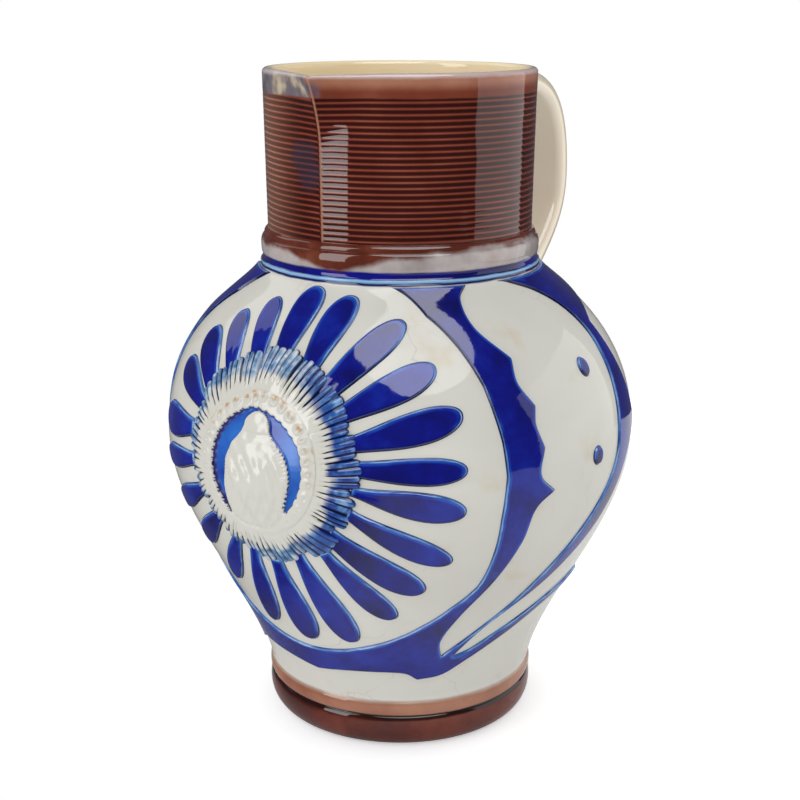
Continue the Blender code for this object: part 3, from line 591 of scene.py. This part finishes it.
SIDE_PANEL = (
    ((47.5, 53), (56.8, 65), (67.2, 80), (76, 97), (85, 118), (91, 134), (94.7, 148), (96.2, 162),
     (97.6, 177), (98.6, 190), (99, 202), (96, 213), (89, 221), (79, 226), (73, 227.6)),
)
BACK_EDGE = (
    ((73, 227.6), (144, 227.6)), ((144, 227.6), (137, 222), (123, 214), (110, 206.5), (105.4, 203)),
    ((105.4, 203), (106, 192), (108.5, 172), (110.7, 157)),
    ((110.7, 157), (102.6, 143), (97.5, 129), (90, 110), (78, 90), (62, 70), (52, 52)),
)
LOW_LEAF = (
    ((52, 52), (58, 55), (68.5, 64), (83.5, 75), (97, 80.5), (105.5, 82)),
    ((105.5, 82), (97, 76.5), (84, 70.5), (71, 59.5), (58, 48), (49, 40.5), (39.5, 38.5)),
    ((39.5, 38.5), (33, 43), (16, 42.5), (0, 39.5)),
)
ARC = np.concatenate([[0.0], np.cumsum(np.hypot(np.diff(BODY_RADII), np.diff(BODY_HEIGHTS)))])


def flat_sheet(angle, height):
    """The body's surface laid flat: length round the belly, and length up the profile."""
    return np.stack([angle * BELLY_RADIUS, np.interp(height, BODY_HEIGHTS, ARC)], axis=-1)


def smooth_line(points, spacing):
    """A smooth line through points, evenly divided, without its last point."""
    points = np.array(points, float)
    padded = np.concatenate([[2 * points[0] - points[1]], points, [2 * points[-1] - points[-2]]])
    curve = []
    for i in range(len(points) - 1):
        a, b, c, d = padded[i:i + 4]
        for t in np.linspace(0.0, 1.0, 40, endpoint=False):
            curve.append(0.5 * (2 * b + (c - a) * t + (2 * a - 5 * b + 4 * c - d) * t**2
                                + (3 * b - a - 3 * c + d) * t**3))
    curve = np.array(curve + [points[-1]])
    length = np.concatenate([[0.0], np.cumsum(np.linalg.norm(np.diff(curve, axis=0), axis=1))])
    steps = np.linspace(0.0, length[-1], max(2, round(length[-1] / spacing)) + 1)[:-1]
    return np.stack([np.interp(steps, length, curve[:, 0]), np.interp(steps, length, curve[:, 1])], axis=1)


def inside_distance(points, outline):
    """How far each point lies inside an outline, negative outside it, and the number of the nearest side."""
    ends = np.roll(outline, -1, axis=0)
    along = ends - outline
    square = (along**2).sum(axis=1)
    result, nearest = np.empty(len(points)), np.empty(len(points), int)
    for start in range(0, len(points), 2000):
        some = points[start:start + 2000, None, :]
        share = np.clip(((some - outline) * along).sum(axis=2) / square, 0.0, 1.0)
        gaps = ((some - outline - along * share[:, :, None]) ** 2).sum(axis=2)
        nearest[start:start + 2000] = gaps.argmin(axis=1)
        crosses = (outline[:, 1] > some[:, :, 1]) != (ends[:, 1] > some[:, :, 1])
        drop = np.where(along[:, 1] == 0, 1.0, along[:, 1])
        left_of = some[:, :, 0] < outline[:, 0] + along[:, 0] * (some[:, :, 1] - outline[:, 1]) / drop
        odd = (crosses & left_of).sum(axis=1) % 2 == 1
        result[start:start + 2000] = np.where(odd, 1.0, -1.0) * np.sqrt(gaps.min(axis=1))
    return result, nearest


def moved_in(outline, distance):
    """The outline moved inwards, point by point."""
    into = outline - np.roll(outline, 1, axis=0)
    out = np.roll(outline, -1, axis=0) - outline
    into /= np.linalg.norm(into, axis=1)[:, None]
    out /= np.linalg.norm(out, axis=1)[:, None]
    normal = np.stack([-into[:, 1] - out[:, 1], into[:, 0] + out[:, 0]], axis=1)
    spread = np.maximum((normal**2).sum(axis=1) / 2, 0.35)
    return outline + normal * (distance / spread)[:, None]


def raised_field(outline, grid):
    """Points, faces, distances from the edge and the edge's lowness, of a raised field on the flat sheet."""
    area = (outline[:, 0] * np.roll(outline[:, 1], -1) - outline[:, 1] * np.roll(outline[:, 0], -1)).sum()
    if area < 0:
        outline = outline[::-1]
    rows = [outline]
    for distance in FIELD_RINGS:
        row = moved_in(outline, distance)
        rows.append(row[inside_distance(row, outline)[0] > 0.8 * distance])
    low, high = outline.min(axis=0), outline.max(axis=0)
    across, up = np.meshgrid(np.arange(low[0], high[0], grid), np.arange(low[1], high[1], grid))
    across[1::2] += grid / 2
    inner = np.stack([across.ravel(), up.ravel()], axis=1)
    rows.append(inner[inside_distance(inner, outline)[0] > FIELD_MARGIN])
    spots = np.concatenate(rows)
    edges = [(i, (i + 1) % len(outline)) for i in range(len(outline))]
    made, _, faces = delaunay_2d_cdt([tuple(p) for p in spots], edges, [], 1, 1e-7)[:3]
    made = np.array([tuple(p) for p in made])
    inward, nearest = inside_distance(made, outline)
    side = (np.roll(outline, -1, axis=0) - outline)[nearest]
    return made, faces, np.maximum(inward, 0.0), lowness(side[:, 1], -side[:, 0])


def wrapped_field(name, outline, grid=0.0035):
    """A raised field wrapped round the body as a piece."""
    made, faces, edge, low = raised_field(outline, grid)
    heights = np.interp(made[:, 1], ARC, BODY_HEIGHTS)
    piece = make_piece(name, on_pot(made[:, 0] / BELLY_RADIUS, heights, relief_rise(edge)), faces)
    set_values(piece, "edge", edge * 1000)
    set_values(piece, "low", low)
    piece.data.shade_smooth()
    return piece


turns = np.linspace(pi, BAND_FROM, 320)
reach = 0.001 * np.interp(np.degrees(turns), MEDALLION_TURNS, MEDALLION_REACH)
across, up = reach * np.sin(turns), MEDALLION_HEIGHT + reach * np.cos(turns)
below = np.count_nonzero(up < TOP)
across = np.append(across[:below], np.interp(TOP, up, across))
up = np.append(up[:below], TOP)
circle = flat_sheet(facing_angle(across, up), up)
along_collar = [circle[-1], flat_sheet(radians(SCALLOPS[0][0][0]), TOP)]
stretches = [smooth_line(circle, STRAPWORK_SPACING), smooth_line(along_collar, STRAPWORK_SPACING)]
for stretch in SCALLOPS + SIDE_PANEL + BACK_EDGE + LOW_LEAF:
    line = [flat_sheet(radians(degrees), min(millimetres / 1000, TOP)) for degrees, millimetres in stretch]
    stretches.append(smooth_line(line, STRAPWORK_SPACING))
right = np.concatenate(stretches)
bottom = flat_sheet(0.0, BAND_BOTTOM)
left = (right[1:] * (-1, 1))[::-1]
strapwork = wrapped_field("strapwork", np.concatenate([right, [bottom], left]))
clean_mesh(strapwork, 1e-7)
strapwork.data.materials.append(cobalt_glaze("strapwork_cobalt"))
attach(strapwork, "root")
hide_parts("jug")

# Two small round pads of the same make sit free in the cream panel on each side, a little taller than wide.
# Each is given by its degrees round the pot, its height and its radius.
DOTS = ((86.5, 0.190, 0.0043), (84.7, 0.151, 0.0040))
DOT_STRETCH = 1.15
DOT_GRID = 0.001

for number, (degrees, height, radius) in enumerate(DOTS, 1):
    for side, word in ((1, "right"), (-1, "left")):
        turns = np.linspace(0.0, 2 * pi, 44, endpoint=False)
        ring = radius * np.stack([np.cos(turns), DOT_STRETCH * np.sin(turns)], axis=1)
        place = flat_sheet(radians(degrees * side), height)
        dot = wrapped_field(f"dot_{number}_{word}", place + ring, DOT_GRID)
        clean_mesh(dot, 1e-7)
        dot.data.materials.append(cobalt_glaze(dot.name + "_cobalt"))
        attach(dot, "root")
        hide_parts("jug")

# The ruff of the rosette: a raised collar of clay combed into fans of ribs, cream where it meets the pearls and
# washed with thin cobalt that runs into the combed grooves. Each fan has the degrees clockwise from the top at
# which it starts, and how far its ribs and its cream root reach from the middle, in millimetres.
FANS = [
    (-10, 49.0, 37.0), (15, 48.2, 38.2), (38, 47.8, 37.2), (59, 46.0, 38.0), (66, 47.6, 38.0),
    (82, 48.9, 36.6), (98, 45.2, 36.1), (102, 47.9, 36.2), (112, 48.4, 37.0), (123, 44.6, 37.0),
    (129, 49.2, 36.6), (151, 45.0, 36.4), (158, 48.2, 37.4), (176, 48.8, 38.6), (190, 46.4, 41.0),
    (214, 44.2, 39.0), (235, 44.3, 36.4), (252, 44.2, 37.0), (266, 45.2, 36.4), (289, 44.2, 37.2),
    (300, 47.6, 40.0), (323, 47.2, 38.4), (336, 47.8, 37.2),
]
RIB_TURN, RIB_POINTS = 4.2, 10
COMB_DEPTH, PART_DEPTH = 0.0011, 0.0010
RUFF_INNER = 0.0300
RUFF_TOP, RUFF_EDGE = 0.0042, 0.0017
RUFF_TOP_ROWS, RUFF_WALL_ROWS = 20, 5
WASHED_TURN = 196


def rosette_surface(turn, out, rise):
    """Points of the rosette, by turn clockwise from its top and distance from its middle."""
    across, up = out * np.sin(turn), ROSETTE_HEIGHT + out * np.cos(turn)
    return on_pot(facing_angle(across, up), up, rise)


def grid_faces(rows, columns):
    """Faces of a closed band of rows of points."""
    faces = []
    for first in range(0, (rows - 1) * columns, columns):
        for i in range(columns):
            a, b = first + i, first + (i + 1) % columns
            faces.append((a, b, b + columns, a + columns))
    return faces


chance = np.random.default_rng(7)
turns, fan_shares, rib_shares, reaches, roots, starts, strengths = [], [], [], [], [], [], []
for fan, (fan_turn, reach, root) in enumerate(FANS):
    width = (FANS[fan + 1][0] if fan + 1 < len(FANS) else FANS[0][0] + 360) - fan_turn
    ribs = max(1, round(width / RIB_TURN))
    share = (np.arange(ribs * RIB_POINTS) + 0.5) / (ribs * RIB_POINTS)
    bend = 0.10 * chance.uniform(-1.0, 1.0) / ribs
    turns += list(radians(fan_turn) + radians(width) * (share + bend * np.sin(2 * pi * share)))
    fan_shares += list(share)
    rib_shares += list((share * ribs) % 1.0)
    reaches += list(0.001 * reach + np.repeat(chance.uniform(-0.0005, 0.0005, ribs), RIB_POINTS))
    roots += list(0.001 * root + np.repeat(chance.uniform(-0.0009, 0.0009, ribs), RIB_POINTS))
    starts += list(np.repeat(chance.uniform(0.0302, 0.0352, ribs), RIB_POINTS))
    strengths += list(np.repeat(chance.uniform(0.60, 1.10, ribs), RIB_POINTS))
ruff_turn, fan_share, rib_share = np.array(turns), np.array(fan_shares), np.array(rib_shares)
root, start, strength = np.array(roots), np.array(starts), np.array(strengths)
round_rib = np.sqrt(np.clip(1 - (2 * rib_share - 1) ** 2, 0.0, 1.0))
round_fan = np.sqrt(np.clip(1 - (2 * fan_share - 1) ** 2, 0.0, 1.0))
limit = np.array(reaches) - 0.0012 - 0.0022 * (1 - round_fan) ** 1.5 - 0.0010 * (1 - round_rib)
washed = np.clip(1 - np.abs(np.degrees(ruff_turn) - WASHED_TURN) / 22, 0.0, 1.0)
verts, groove_values, out_values = [], [], []
for row in range(RUFF_TOP_ROWS + RUFF_WALL_ROWS + 1):
    share = min(row / RUFF_TOP_ROWS, 1.0)
    over = max(0, row - RUFF_TOP_ROWS) / RUFF_WALL_ROWS
    out = RUFF_INNER + (limit - RUFF_INNER) * share
    turn = ruff_turn + 0.030 * np.sin(7 * ruff_turn + 0.6) * (share - 0.3) + 0.006 * np.sin(29 * ruff_turn)
    combed = (1 - round_rib**2) * np.clip((out - start) / 0.0025, 0.0, 1.0) * strength
    parted = (1 - round_fan) ** 1.5 * np.clip((share - 0.15) / 0.4, 0.0, 1.0)
    crown = RUFF_TOP - (RUFF_TOP - RUFF_EDGE) * share**1.6 + 0.0004 * np.sin(pi * share) * round_fan
    rise = crown - COMB_DEPTH * combed - PART_DEPTH * parted
    rise = rise * (1 - over) ** 0.7 - 0.0003 * (over == 1)
    verts += list(rosette_surface(turn, out + 0.0006 * over, rise))
    shown = 1 - washed * np.clip((0.0385 - out) / 0.002, 0.0, 1.0)
    groove_values += list(np.clip(1.15 * np.maximum(combed, parted) + 0.8 * over, 0.0, 1.0) * shown)
    in_root, past_root = (out - RUFF_INNER) / (root - RUFF_INNER), (out - root) / (limit - root)
    out_values += list(np.where(out < root, 0.4 * in_root, 0.4 + 0.6 * past_root) + 0.2 * over)
ruff_faces = grid_faces(RUFF_TOP_ROWS + RUFF_WALL_ROWS + 1, len(ruff_turn))
ruff = make_piece("rosette_ruff", verts, ruff_faces)
set_values(ruff, "groove", groove_values)
set_values(ruff, "out", out_values)
clean_mesh(ruff, 1e-8)


def ruff_glaze():
    """Cream at the pearls, washed with thin blue outwards, royal blue to the right, dark in the grooves."""
    material, tree, shader, place = glaze("ruff_glaze")
    out = stored(tree, "out")
    patchy = sums(tree, "MULTIPLY_ADD", noise(tree, place, 110.0, 2.0), 0.4, -0.20)
    streaks = noise(tree, place, 190.0, 2.0)
    thin_wash_and_left_light = ramp(tree, streaks, (0.30, 44, 88, 138), (0.48, 104, 144, 182), (0.68, 198, 208, 214))
    patches = noise(tree, place, 170.0, 2.0)
    royal = ramp(tree, patches, (0.35, 22, 54, 132), (0.55, 46, 92, 164), (0.72, 120, 162, 206))
    sideways = add_node(tree, "ShaderNodeSeparateXYZ", {0: place}).outputs["X"]
    to_right = between(tree, sums(tree, "MULTIPLY_ADD", patchy, 0.02, sideways), 0.008, 0.034)
    blue = blend(tree, to_right, thin_wash_and_left_light, royal)
    wash = between(tree, sums(tree, "ADD", out, patchy), 0.30, 0.52)
    tint = blend(tree, wash, cream_tint(tree, place), blue)
    dark = ramp(tree, noise(tree, place, 70.0), (0.4, 12, 12, 52), (0.7, 20, 26, 96))
    tint = blend(tree, between(tree, stored(tree, "groove"), 0.36, 0.66), tint, dark)
    broken = between(tree, noise(tree, place, 60.0), 0.34, 0.50)
    hem = sums(tree, "MULTIPLY", between(tree, out, 1.0, 1.08), broken)
    finish_glaze(tree, shader, blend(tree, hem, tint, dark), place)
    return material


ruff.data.materials.append(ruff_glaze())
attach(ruff, "root")
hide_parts("jug")

# The rosette's middle: a ring of small cupped pearls round a sunk blue ground, on which a plain oval shield
# with a knob stands, all moulded in one sprig of clay and worn soft. The lower pearls have nearly gone. The
# ground's edge is given by the turn from the top, in degrees, and the distance from the middle, in millimetres.
PEARLS = 34
PEARL_RING, CUP_HEIGHT = 0.0272, 0.0011
MIDDLE_RADIUS = 0.0302
MIDDLE_RISE, GROUND_RISE, SHIELD_DROP, SHIELD_DOME = RUFF_TOP + 0.0002, 0.0024, 0.0008, 0.0010
GROUND_TURNS = [0, 20, 47, 65, 85, 105, 125, 140, 207, 213, 222, 237, 258, 281, 306, 332, 353, 360]
GROUND_REACH = [24.0, 23.2, 23.2, 24.0, 24.2, 24.4, 24.7, 25.1, 28.6, 28.2, 26.8, 26.2, 25.0, 24.3, 23.8,
                23.8, 24.4, 24.0]
SHIELD = [
    (0.0, -29.0), (8.0, -27.8), (13.5, -22.5), (16.6, -15.5), (18.2, -8.0), (18.3, -2.0), (16.6, 4.2),
    (13.4, 8.4), (10.2, 11.4), (7.9, 14.2), (7.2, 17.4), (5.4, 20.4), (2.4, 22.6), (-0.8, 23.0),
    (-4.2, 21.4), (-6.9, 18.6), (-7.6, 15.4), (-9.6, 12.0), (-13.2, 8.0), (-15.8, 2.0), (-17.0, -5.0),
    (-17.0, -12.0), (-16.4, -18.0), (-14.8, -22.8), (-12.4, -25.8), (-7.0, -28.4), (0.0, -29.0),
]
MIDDLE_COLUMNS, MIDDLE_ROWS = PEARLS * 12, 66


def swell(gap, width):
    """1 on a line or at a point, falling softly with the distance from it."""
    return np.exp(-(gap / width) ** 2)


turn, out = np.meshgrid(np.linspace(0, 2 * pi, MIDDLE_COLUMNS, endpoint=False),
                        np.linspace(0, MIDDLE_RADIUS, MIDDLE_ROWS))
turn, out = turn.ravel(), out.ravel()
across, up = out * np.sin(turn), out * np.cos(turn)

shield_line = smooth_line([(0.001 * x, 0.001 * z) for x, z in SHIELD], 0.0005)
shield = inside_distance(np.stack([across, up], axis=1), shield_line)[0]
fringe = np.clip((across - 0.010) / 0.003, 0.0, 1.0) * np.exp(-((up + 0.0135) / 0.0050) ** 4)
shield = shield - 0.0012 * fringe * (0.5 + 0.5 * np.sin(2 * pi * up / 0.0021))
on_shield = np.clip(shield / 0.0011, 0.0, 1.0)
on_shield = on_shield * on_shield * (3 - 2 * on_shield)
dome = SHIELD_DOME * np.sqrt(np.clip(shield / 0.014, 0.0, 1.0))
lumps = 0.00022 * (np.sin(across * 430) * np.cos(up * 320 + 1.3) + 0.7 * np.sin(up * 520 + across * 700)
                   + 0.6 * np.sin(across * 900 + 2) * np.sin(up * 640 + 1))
folds = 0.00028 * np.cos(across * 980 + 3.0 * np.sin(up * 150)) * np.clip((0.006 - up) / 0.006, 0.0, 1.0)
folds = folds * np.clip(shield / 0.004 - 0.4, 0.0, 1.0)
notch = -0.0005 * swell(up - 0.0128 - 6.0 * across**2, 0.0011)
beads = 0.00022 * swell(shield - 0.0018, 0.0006) * np.sin(turn * 62) * (up < 0.010)

wander = 0.03 * np.sin(5 * turn) + 0.02 * np.sin(11 * turn + 1)
pearl_share = ((turn + wander) * PEARLS / (2 * pi)) % 1.0 - 0.5
ring = PEARL_RING + 0.0005 * np.sin(3 * turn + 1) + 0.0003 * np.sin(8 * turn)
pearl_gap = np.hypot(pearl_share * 2 * pi * PEARL_RING / PEARLS, out - ring)
worn = np.clip(0.62 + 0.55 * np.cos(turn - 0.25), 0.16, 1.0)
cup = 0.75 * swell(pearl_gap - 0.0012, 0.0007) - 0.35 * swell(pearl_gap, 0.0007)

scallop = 0.001 * np.interp(np.degrees(turn), GROUND_TURNS, GROUND_REACH)
scallop = scallop - 0.0005 * np.abs(np.sin(turn * PEARLS / 2))
open_below = np.clip((np.degrees(turn) - 138) / 6, 0.0, 1.0) * np.clip((212 - np.degrees(turn)) / 4, 0.0, 1.0)
sunk = np.clip((scallop - out) / 0.0007, 0.0, 1.0) * (1 - open_below)
ground = sunk * (1 - on_shield)

rise = MIDDLE_RISE + CUP_HEIGHT * cup * worn
rise = rise * (1 - sunk) + GROUND_RISE * sunk
rise = rise * (1 - on_shield) + on_shield * (MIDDLE_RISE - SHIELD_DROP + dome + lumps + folds + notch + beads)
middle_faces = grid_faces(MIDDLE_ROWS, MIDDLE_COLUMNS)
middle = make_piece("rosette_middle", rosette_surface(turn, out, rise), middle_faces)
set_values(middle, "ground", ground)
set_values(middle, "line", np.clip(1 - np.abs(ground - 0.45) / 0.42, 0.0, 1.0) * (1 - open_below))
# Painted shade: the sunk ground darkens to purple near its edge on the left side.
from_edge = np.clip(1 - (scallop - out) / 0.0026, 0.0, 1.0)
set_values(middle, "left_ground_shade", from_edge * np.clip(-np.sin(turn) * 1.6, 0.0, 1.0))
crescent = swell(pearl_gap - 0.0010, 0.0006) * np.clip(0.4 + (out - ring) / 0.0012, 0.0, 1.0)
broken = np.clip(np.sin(23 * turn + 2 * np.sin(9 * turn)), 0.0, 1.0)
outer_line = swell(out - 0.0297, 0.0004) * broken
set_values(middle, "amber", np.maximum(crescent, outer_line) * np.clip(worn * 2.2 - 1.2, 0.0, 1.0))
clean_mesh(middle, 1e-7)


def middle_glaze():
    """Cream relief with amber in the pearls' cups, and royal blue in a dark outline on the sunk ground, with
    painted shade near the ground's left edge.
    """
    material, tree, shader, place = glaze("rosette_glaze", 0.17)
    speck = between(tree, noise(tree, place, 260.0, 2.0), 0.44, 0.60)
    amber = sums(tree, "MULTIPLY", stored(tree, "amber"), speck)
    tint = blend(tree, amber, cream_tint(tree, place), colour(186, 138, 74))
    royal = ramp(tree, noise(tree, place, 50.0, 3.0), (0.35, 24, 60, 160), (0.65, 44, 116, 206))
    # Painted shade near the left edge of the sunk ground.
    royal = blend(tree, between(tree, stored(tree, "left_ground_shade"), 0.1, 0.7), royal, colour(52, 46, 112))
    tint = blend(tree, between(tree, stored(tree, "ground"), 0.35, 0.7), tint, royal)
    tint = blend(tree, between(tree, stored(tree, "line"), 0.25, 0.7), tint, colour(20, 16, 78))
    finish_glaze(tree, shader, tint, place)
    return material


middle.data.materials.append(middle_glaze())
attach(middle, "root")
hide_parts("jug")

# The strap handle: a flat pulled strap of the same clay, luted under the rim and pressed out on the shoulder,
# with rounded edges and the cream glaze of the body.
STRAP_HALF_WIDTH, STRAP_HALF_THICK = 0.024, 0.005
STRAP_EDGE, STRAP_DISH = 0.0044, 0.0006
STRAP_GAP = 0.0586
STRAP_OUT = RIM_RADIUS + STRAP_GAP + STRAP_HALF_THICK
STRAP_TOP = HEIGHT - 0.0060 - STRAP_HALF_THICK
STRAP_BEND = HEIGHT - 0.061
STRAP_ROOT = SHOULDER_HEIGHT - 0.0224
STRAP_BURIED, STRAP_SUNK = 0.0032, 0.0034
STRAP_STEPS = 44


def strap_line():
    """The strap's middle line, as (distance from the axis, height), from the neck to the body."""
    start = (RIM_RADIUS - 0.0142, STRAP_TOP)
    over, down = (STRAP_OUT - 0.0287, STRAP_TOP + 0.0073), (STRAP_OUT, STRAP_BEND + 0.0476)
    upper = bezier(start, over, down, (STRAP_OUT, STRAP_BEND), STRAP_STEPS)
    slope = body_slope(STRAP_ROOT)
    normal = np.array([1.0, -slope]) / np.hypot(1.0, slope)
    surface = np.array([body_radius(STRAP_ROOT), STRAP_ROOT])
    root, under = surface - 0.012 * normal, (STRAP_OUT, STRAP_BEND - 0.0256)
    lower = bezier((STRAP_OUT, STRAP_BEND), under, root + 0.034 * normal, root, STRAP_STEPS)
    path = np.concatenate([upper, lower[1:]])
    return path[(path[:, 0] > RIM_RADIUS - STRAP_BURIED) & ((path - surface) @ normal > -STRAP_SUNK)]


def strap_section(steps=7):
    """The strap's section: a flat bar with rounded edges and slightly hollow faces."""
    section = []
    for x_sign, y_sign, start in ((1, 1, 0.0), (-1, 1, pi / 2), (-1, -1, pi), (1, -1, 1.5 * pi)):
        for turn in np.linspace(start, start + pi / 2, steps):
            x = x_sign * (STRAP_HALF_WIDTH - STRAP_EDGE) + STRAP_EDGE * cos(turn)
            y = y_sign * (STRAP_HALF_THICK - STRAP_EDGE) + STRAP_EDGE * sin(turn)
            section.append((x, y))
        if y_sign * x_sign > 0:
            for share in np.linspace(0.0, 1.0, 14)[1:-1]:
                x = x_sign * (STRAP_HALF_WIDTH - STRAP_EDGE) * (1 - 2 * share)
                section.append((x, y_sign * (STRAP_HALF_THICK - STRAP_DISH * sin(pi * share))))
    return section


line = strap_line()
along = np.gradient(line, axis=0)
along /= np.linalg.norm(along, axis=1)[:, None]
outward = np.stack([-along[:, 1], along[:, 0]], axis=1)
travel = np.concatenate([[0.0], np.cumsum(np.linalg.norm(np.diff(line, axis=0), axis=1))])
section = strap_section()
verts, inner_face = [], []
for point, out, distance in zip(line, outward, travel):
    to_root = min(distance, travel[-1] - distance)
    flare, thick = 1 + 0.10 * swell(to_root, 0.007), 1 + 0.55 * swell(to_root, 0.006)
    for x, y in section:
        spot = point + out * y * thick
        verts.append((x * flare, spot[0], spot[1]))
        inner_face.append(1.0 if y < 0 else 0.0)
ends = [tuple(range(len(section))), tuple(range(len(verts) - 1, len(verts) - len(section) - 1, -1))]
strap = make_piece("strap_handle", verts, grid_faces(len(line), len(section)) + ends)
set_values(strap, "inner", inner_face)
clean_mesh(strap)


def strap_glaze():
    """A warmer and thinner coat of the body's cream glaze, with painted light that makes the inner face palest.
    """
    material, tree, shader, place = glaze("strap_glaze")
    clouds = noise(tree, place, 20.0, 3.0)
    warm = ramp(tree, clouds, (0.3, 202, 188, 162), (0.7, 214, 202, 178))
    # Painted light: the inner face, which the neck shades, is painted paler than the rest of the strap.
    pale_and_lit = ramp(tree, clouds, (0.3, 250, 234, 208), (0.7, 255, 246, 226))
    tint = blend(tree, stored(tree, "inner"), warm, pale_and_lit)
    finish_glaze(tree, shader, blend(tree, 0.12, tint, cream_tint(tree, place)), place)
    return material


strap.data.materials.append(strap_glaze())
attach(strap, "root")
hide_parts("jug")

# The studio: a white table that fades out in front of the jug, a tall softbox left, a wide one right, a round
# one above, a small one behind on the left and a dim one behind on the right, and a white surround. The camera
# looks a little down on the jug, with the medallion turned to the left.
VIEW = radians(33)
CAMERA_OUT, CAMERA_HEIGHT, CAMERA_DOWN = 0.6959, 0.35284, radians(15.72)
LENS = 64.98
LAMP_AIM = 0.15
TABLE_BACK, TABLE_SIZE, TABLE_DROP = 0.32, (0.96, 1.12), 0.0002

camera_data = bpy.data.cameras.new("camera")
camera_data.lens, camera_data.sensor_width = LENS, 36.0
camera_data.clip_start = 0.01
camera = bpy.data.objects.new("camera", camera_data)
camera.location = (CAMERA_OUT * sin(VIEW), -CAMERA_OUT * cos(VIEW), CAMERA_HEIGHT)
camera.rotation_euler = (pi / 2 - CAMERA_DOWN, 0.0, VIEW)
bpy.context.scene.collection.objects.link(camera)
bpy.context.scene.camera = camera


def softbox(name, turn, lift, distance, width, height, mirrored, lit, shape="RECTANGLE"):
    """A flat light facing the jug, with one brightness as mirrored in the glaze and one for the light it gives.

    The turn is from the camera's side to the right and the lift above level, both in degrees.
    """
    bearing, area = VIEW + radians(turn), width * height * (pi / 4 if shape == "ELLIPSE" else 1.0)
    level = distance * cos(radians(lift))
    for part, brightness in (("mirrored", mirrored), ("lit", lit)):
        if brightness == 0:
            continue
        data = bpy.data.lights.new(name + "_" + part, "AREA")
        data.shape, data.size, data.size_y = shape, width, height
        data.energy = brightness * area * pi
        light = bpy.data.objects.new(name + "_" + part, data)
        up = LAMP_AIM + distance * sin(radians(lift))
        light.location = (level * sin(bearing), -level * cos(bearing), up)
        light.rotation_euler = (pi / 2 - radians(lift), 0.0, bearing)
        light.visible_diffuse = part == "lit"
        light.visible_glossy = part == "mirrored"
        bpy.context.scene.collection.objects.link(light)


softbox("softbox_left", -54, 20, 1.5, 0.62, 1.5, 4.2, 2.1)
softbox("softbox_right", 94, 10, 1.5, 1.7, 1.2, 1.1, 0.15)
softbox("softbox_above", 16, 65.2, 1.435, 1.20, 1.27, 5.0, 0.50, "ELLIPSE")
softbox("softbox_rear", -124, 36, 1.5, 0.55, 0.75, 1.1, 0.4)
softbox("softbox_back", 125, 15, 1.5, 1.0, 1.2, 0.0, 0.7)

table_at = (TABLE_BACK * cos(VIEW), TABLE_BACK * sin(VIEW), -TABLE_DROP)
bpy.ops.mesh.primitive_plane_add(size=1, location=table_at, rotation=(0, 0, VIEW))
floor = bpy.context.active_object
floor.name = "white_table"
floor.scale = (*TABLE_SIZE, 1.0)
floor_material = bpy.data.materials.new("white_table")
floor_material.use_nodes = True
table = floor_material.node_tree
floor_shader = table.nodes["Principled BSDF"]
floor_shader.inputs["Base Color"].default_value = (0.88, 0.88, 0.88, 1.0)
floor_shader.inputs["Roughness"].default_value = 0.9
floor_shader.inputs["Emission Color"].default_value = (1.0, 1.0, 1.0, 1.0)
floor_rays = add_node(table, "ShaderNodeLightPath")
floor_lift = sums(table, "MULTIPLY", floor_rays.outputs["Is Camera Ray"], 0.45)
table.links.new(floor_lift, floor_shader.inputs["Emission Strength"])
floor_place = add_node(table, "ShaderNodeTexCoord").outputs["Object"]
floor_axes = add_node(table, "ShaderNodeSeparateXYZ", {0: floor_place})
table.links.new(between(table, floor_axes.outputs["X"], -0.47, -0.36), floor_shader.inputs["Alpha"])
floor.data.materials.append(floor_material)

world = bpy.data.worlds.new("surround")
bpy.context.scene.world = world
world.use_nodes = True
sky = world.node_tree
background = sky.nodes["Background"]
rays = add_node(sky, "ShaderNodeLightPath")
seen = blend(sky, rays.outputs["Is Glossy Ray"], (0.88, 0.88, 0.89, 1.0), (0.10, 0.10, 0.11, 1.0))
shown = blend(sky, rays.outputs["Is Camera Ray"], seen, (1.0, 1.0, 1.0, 1.0))
sky.links.new(shown, background.inputs["Color"])
background.inputs["Strength"].default_value = 1.0

bpy.context.scene.view_settings.view_transform = "Standard"
bpy.context.scene.view_settings.look = "None"
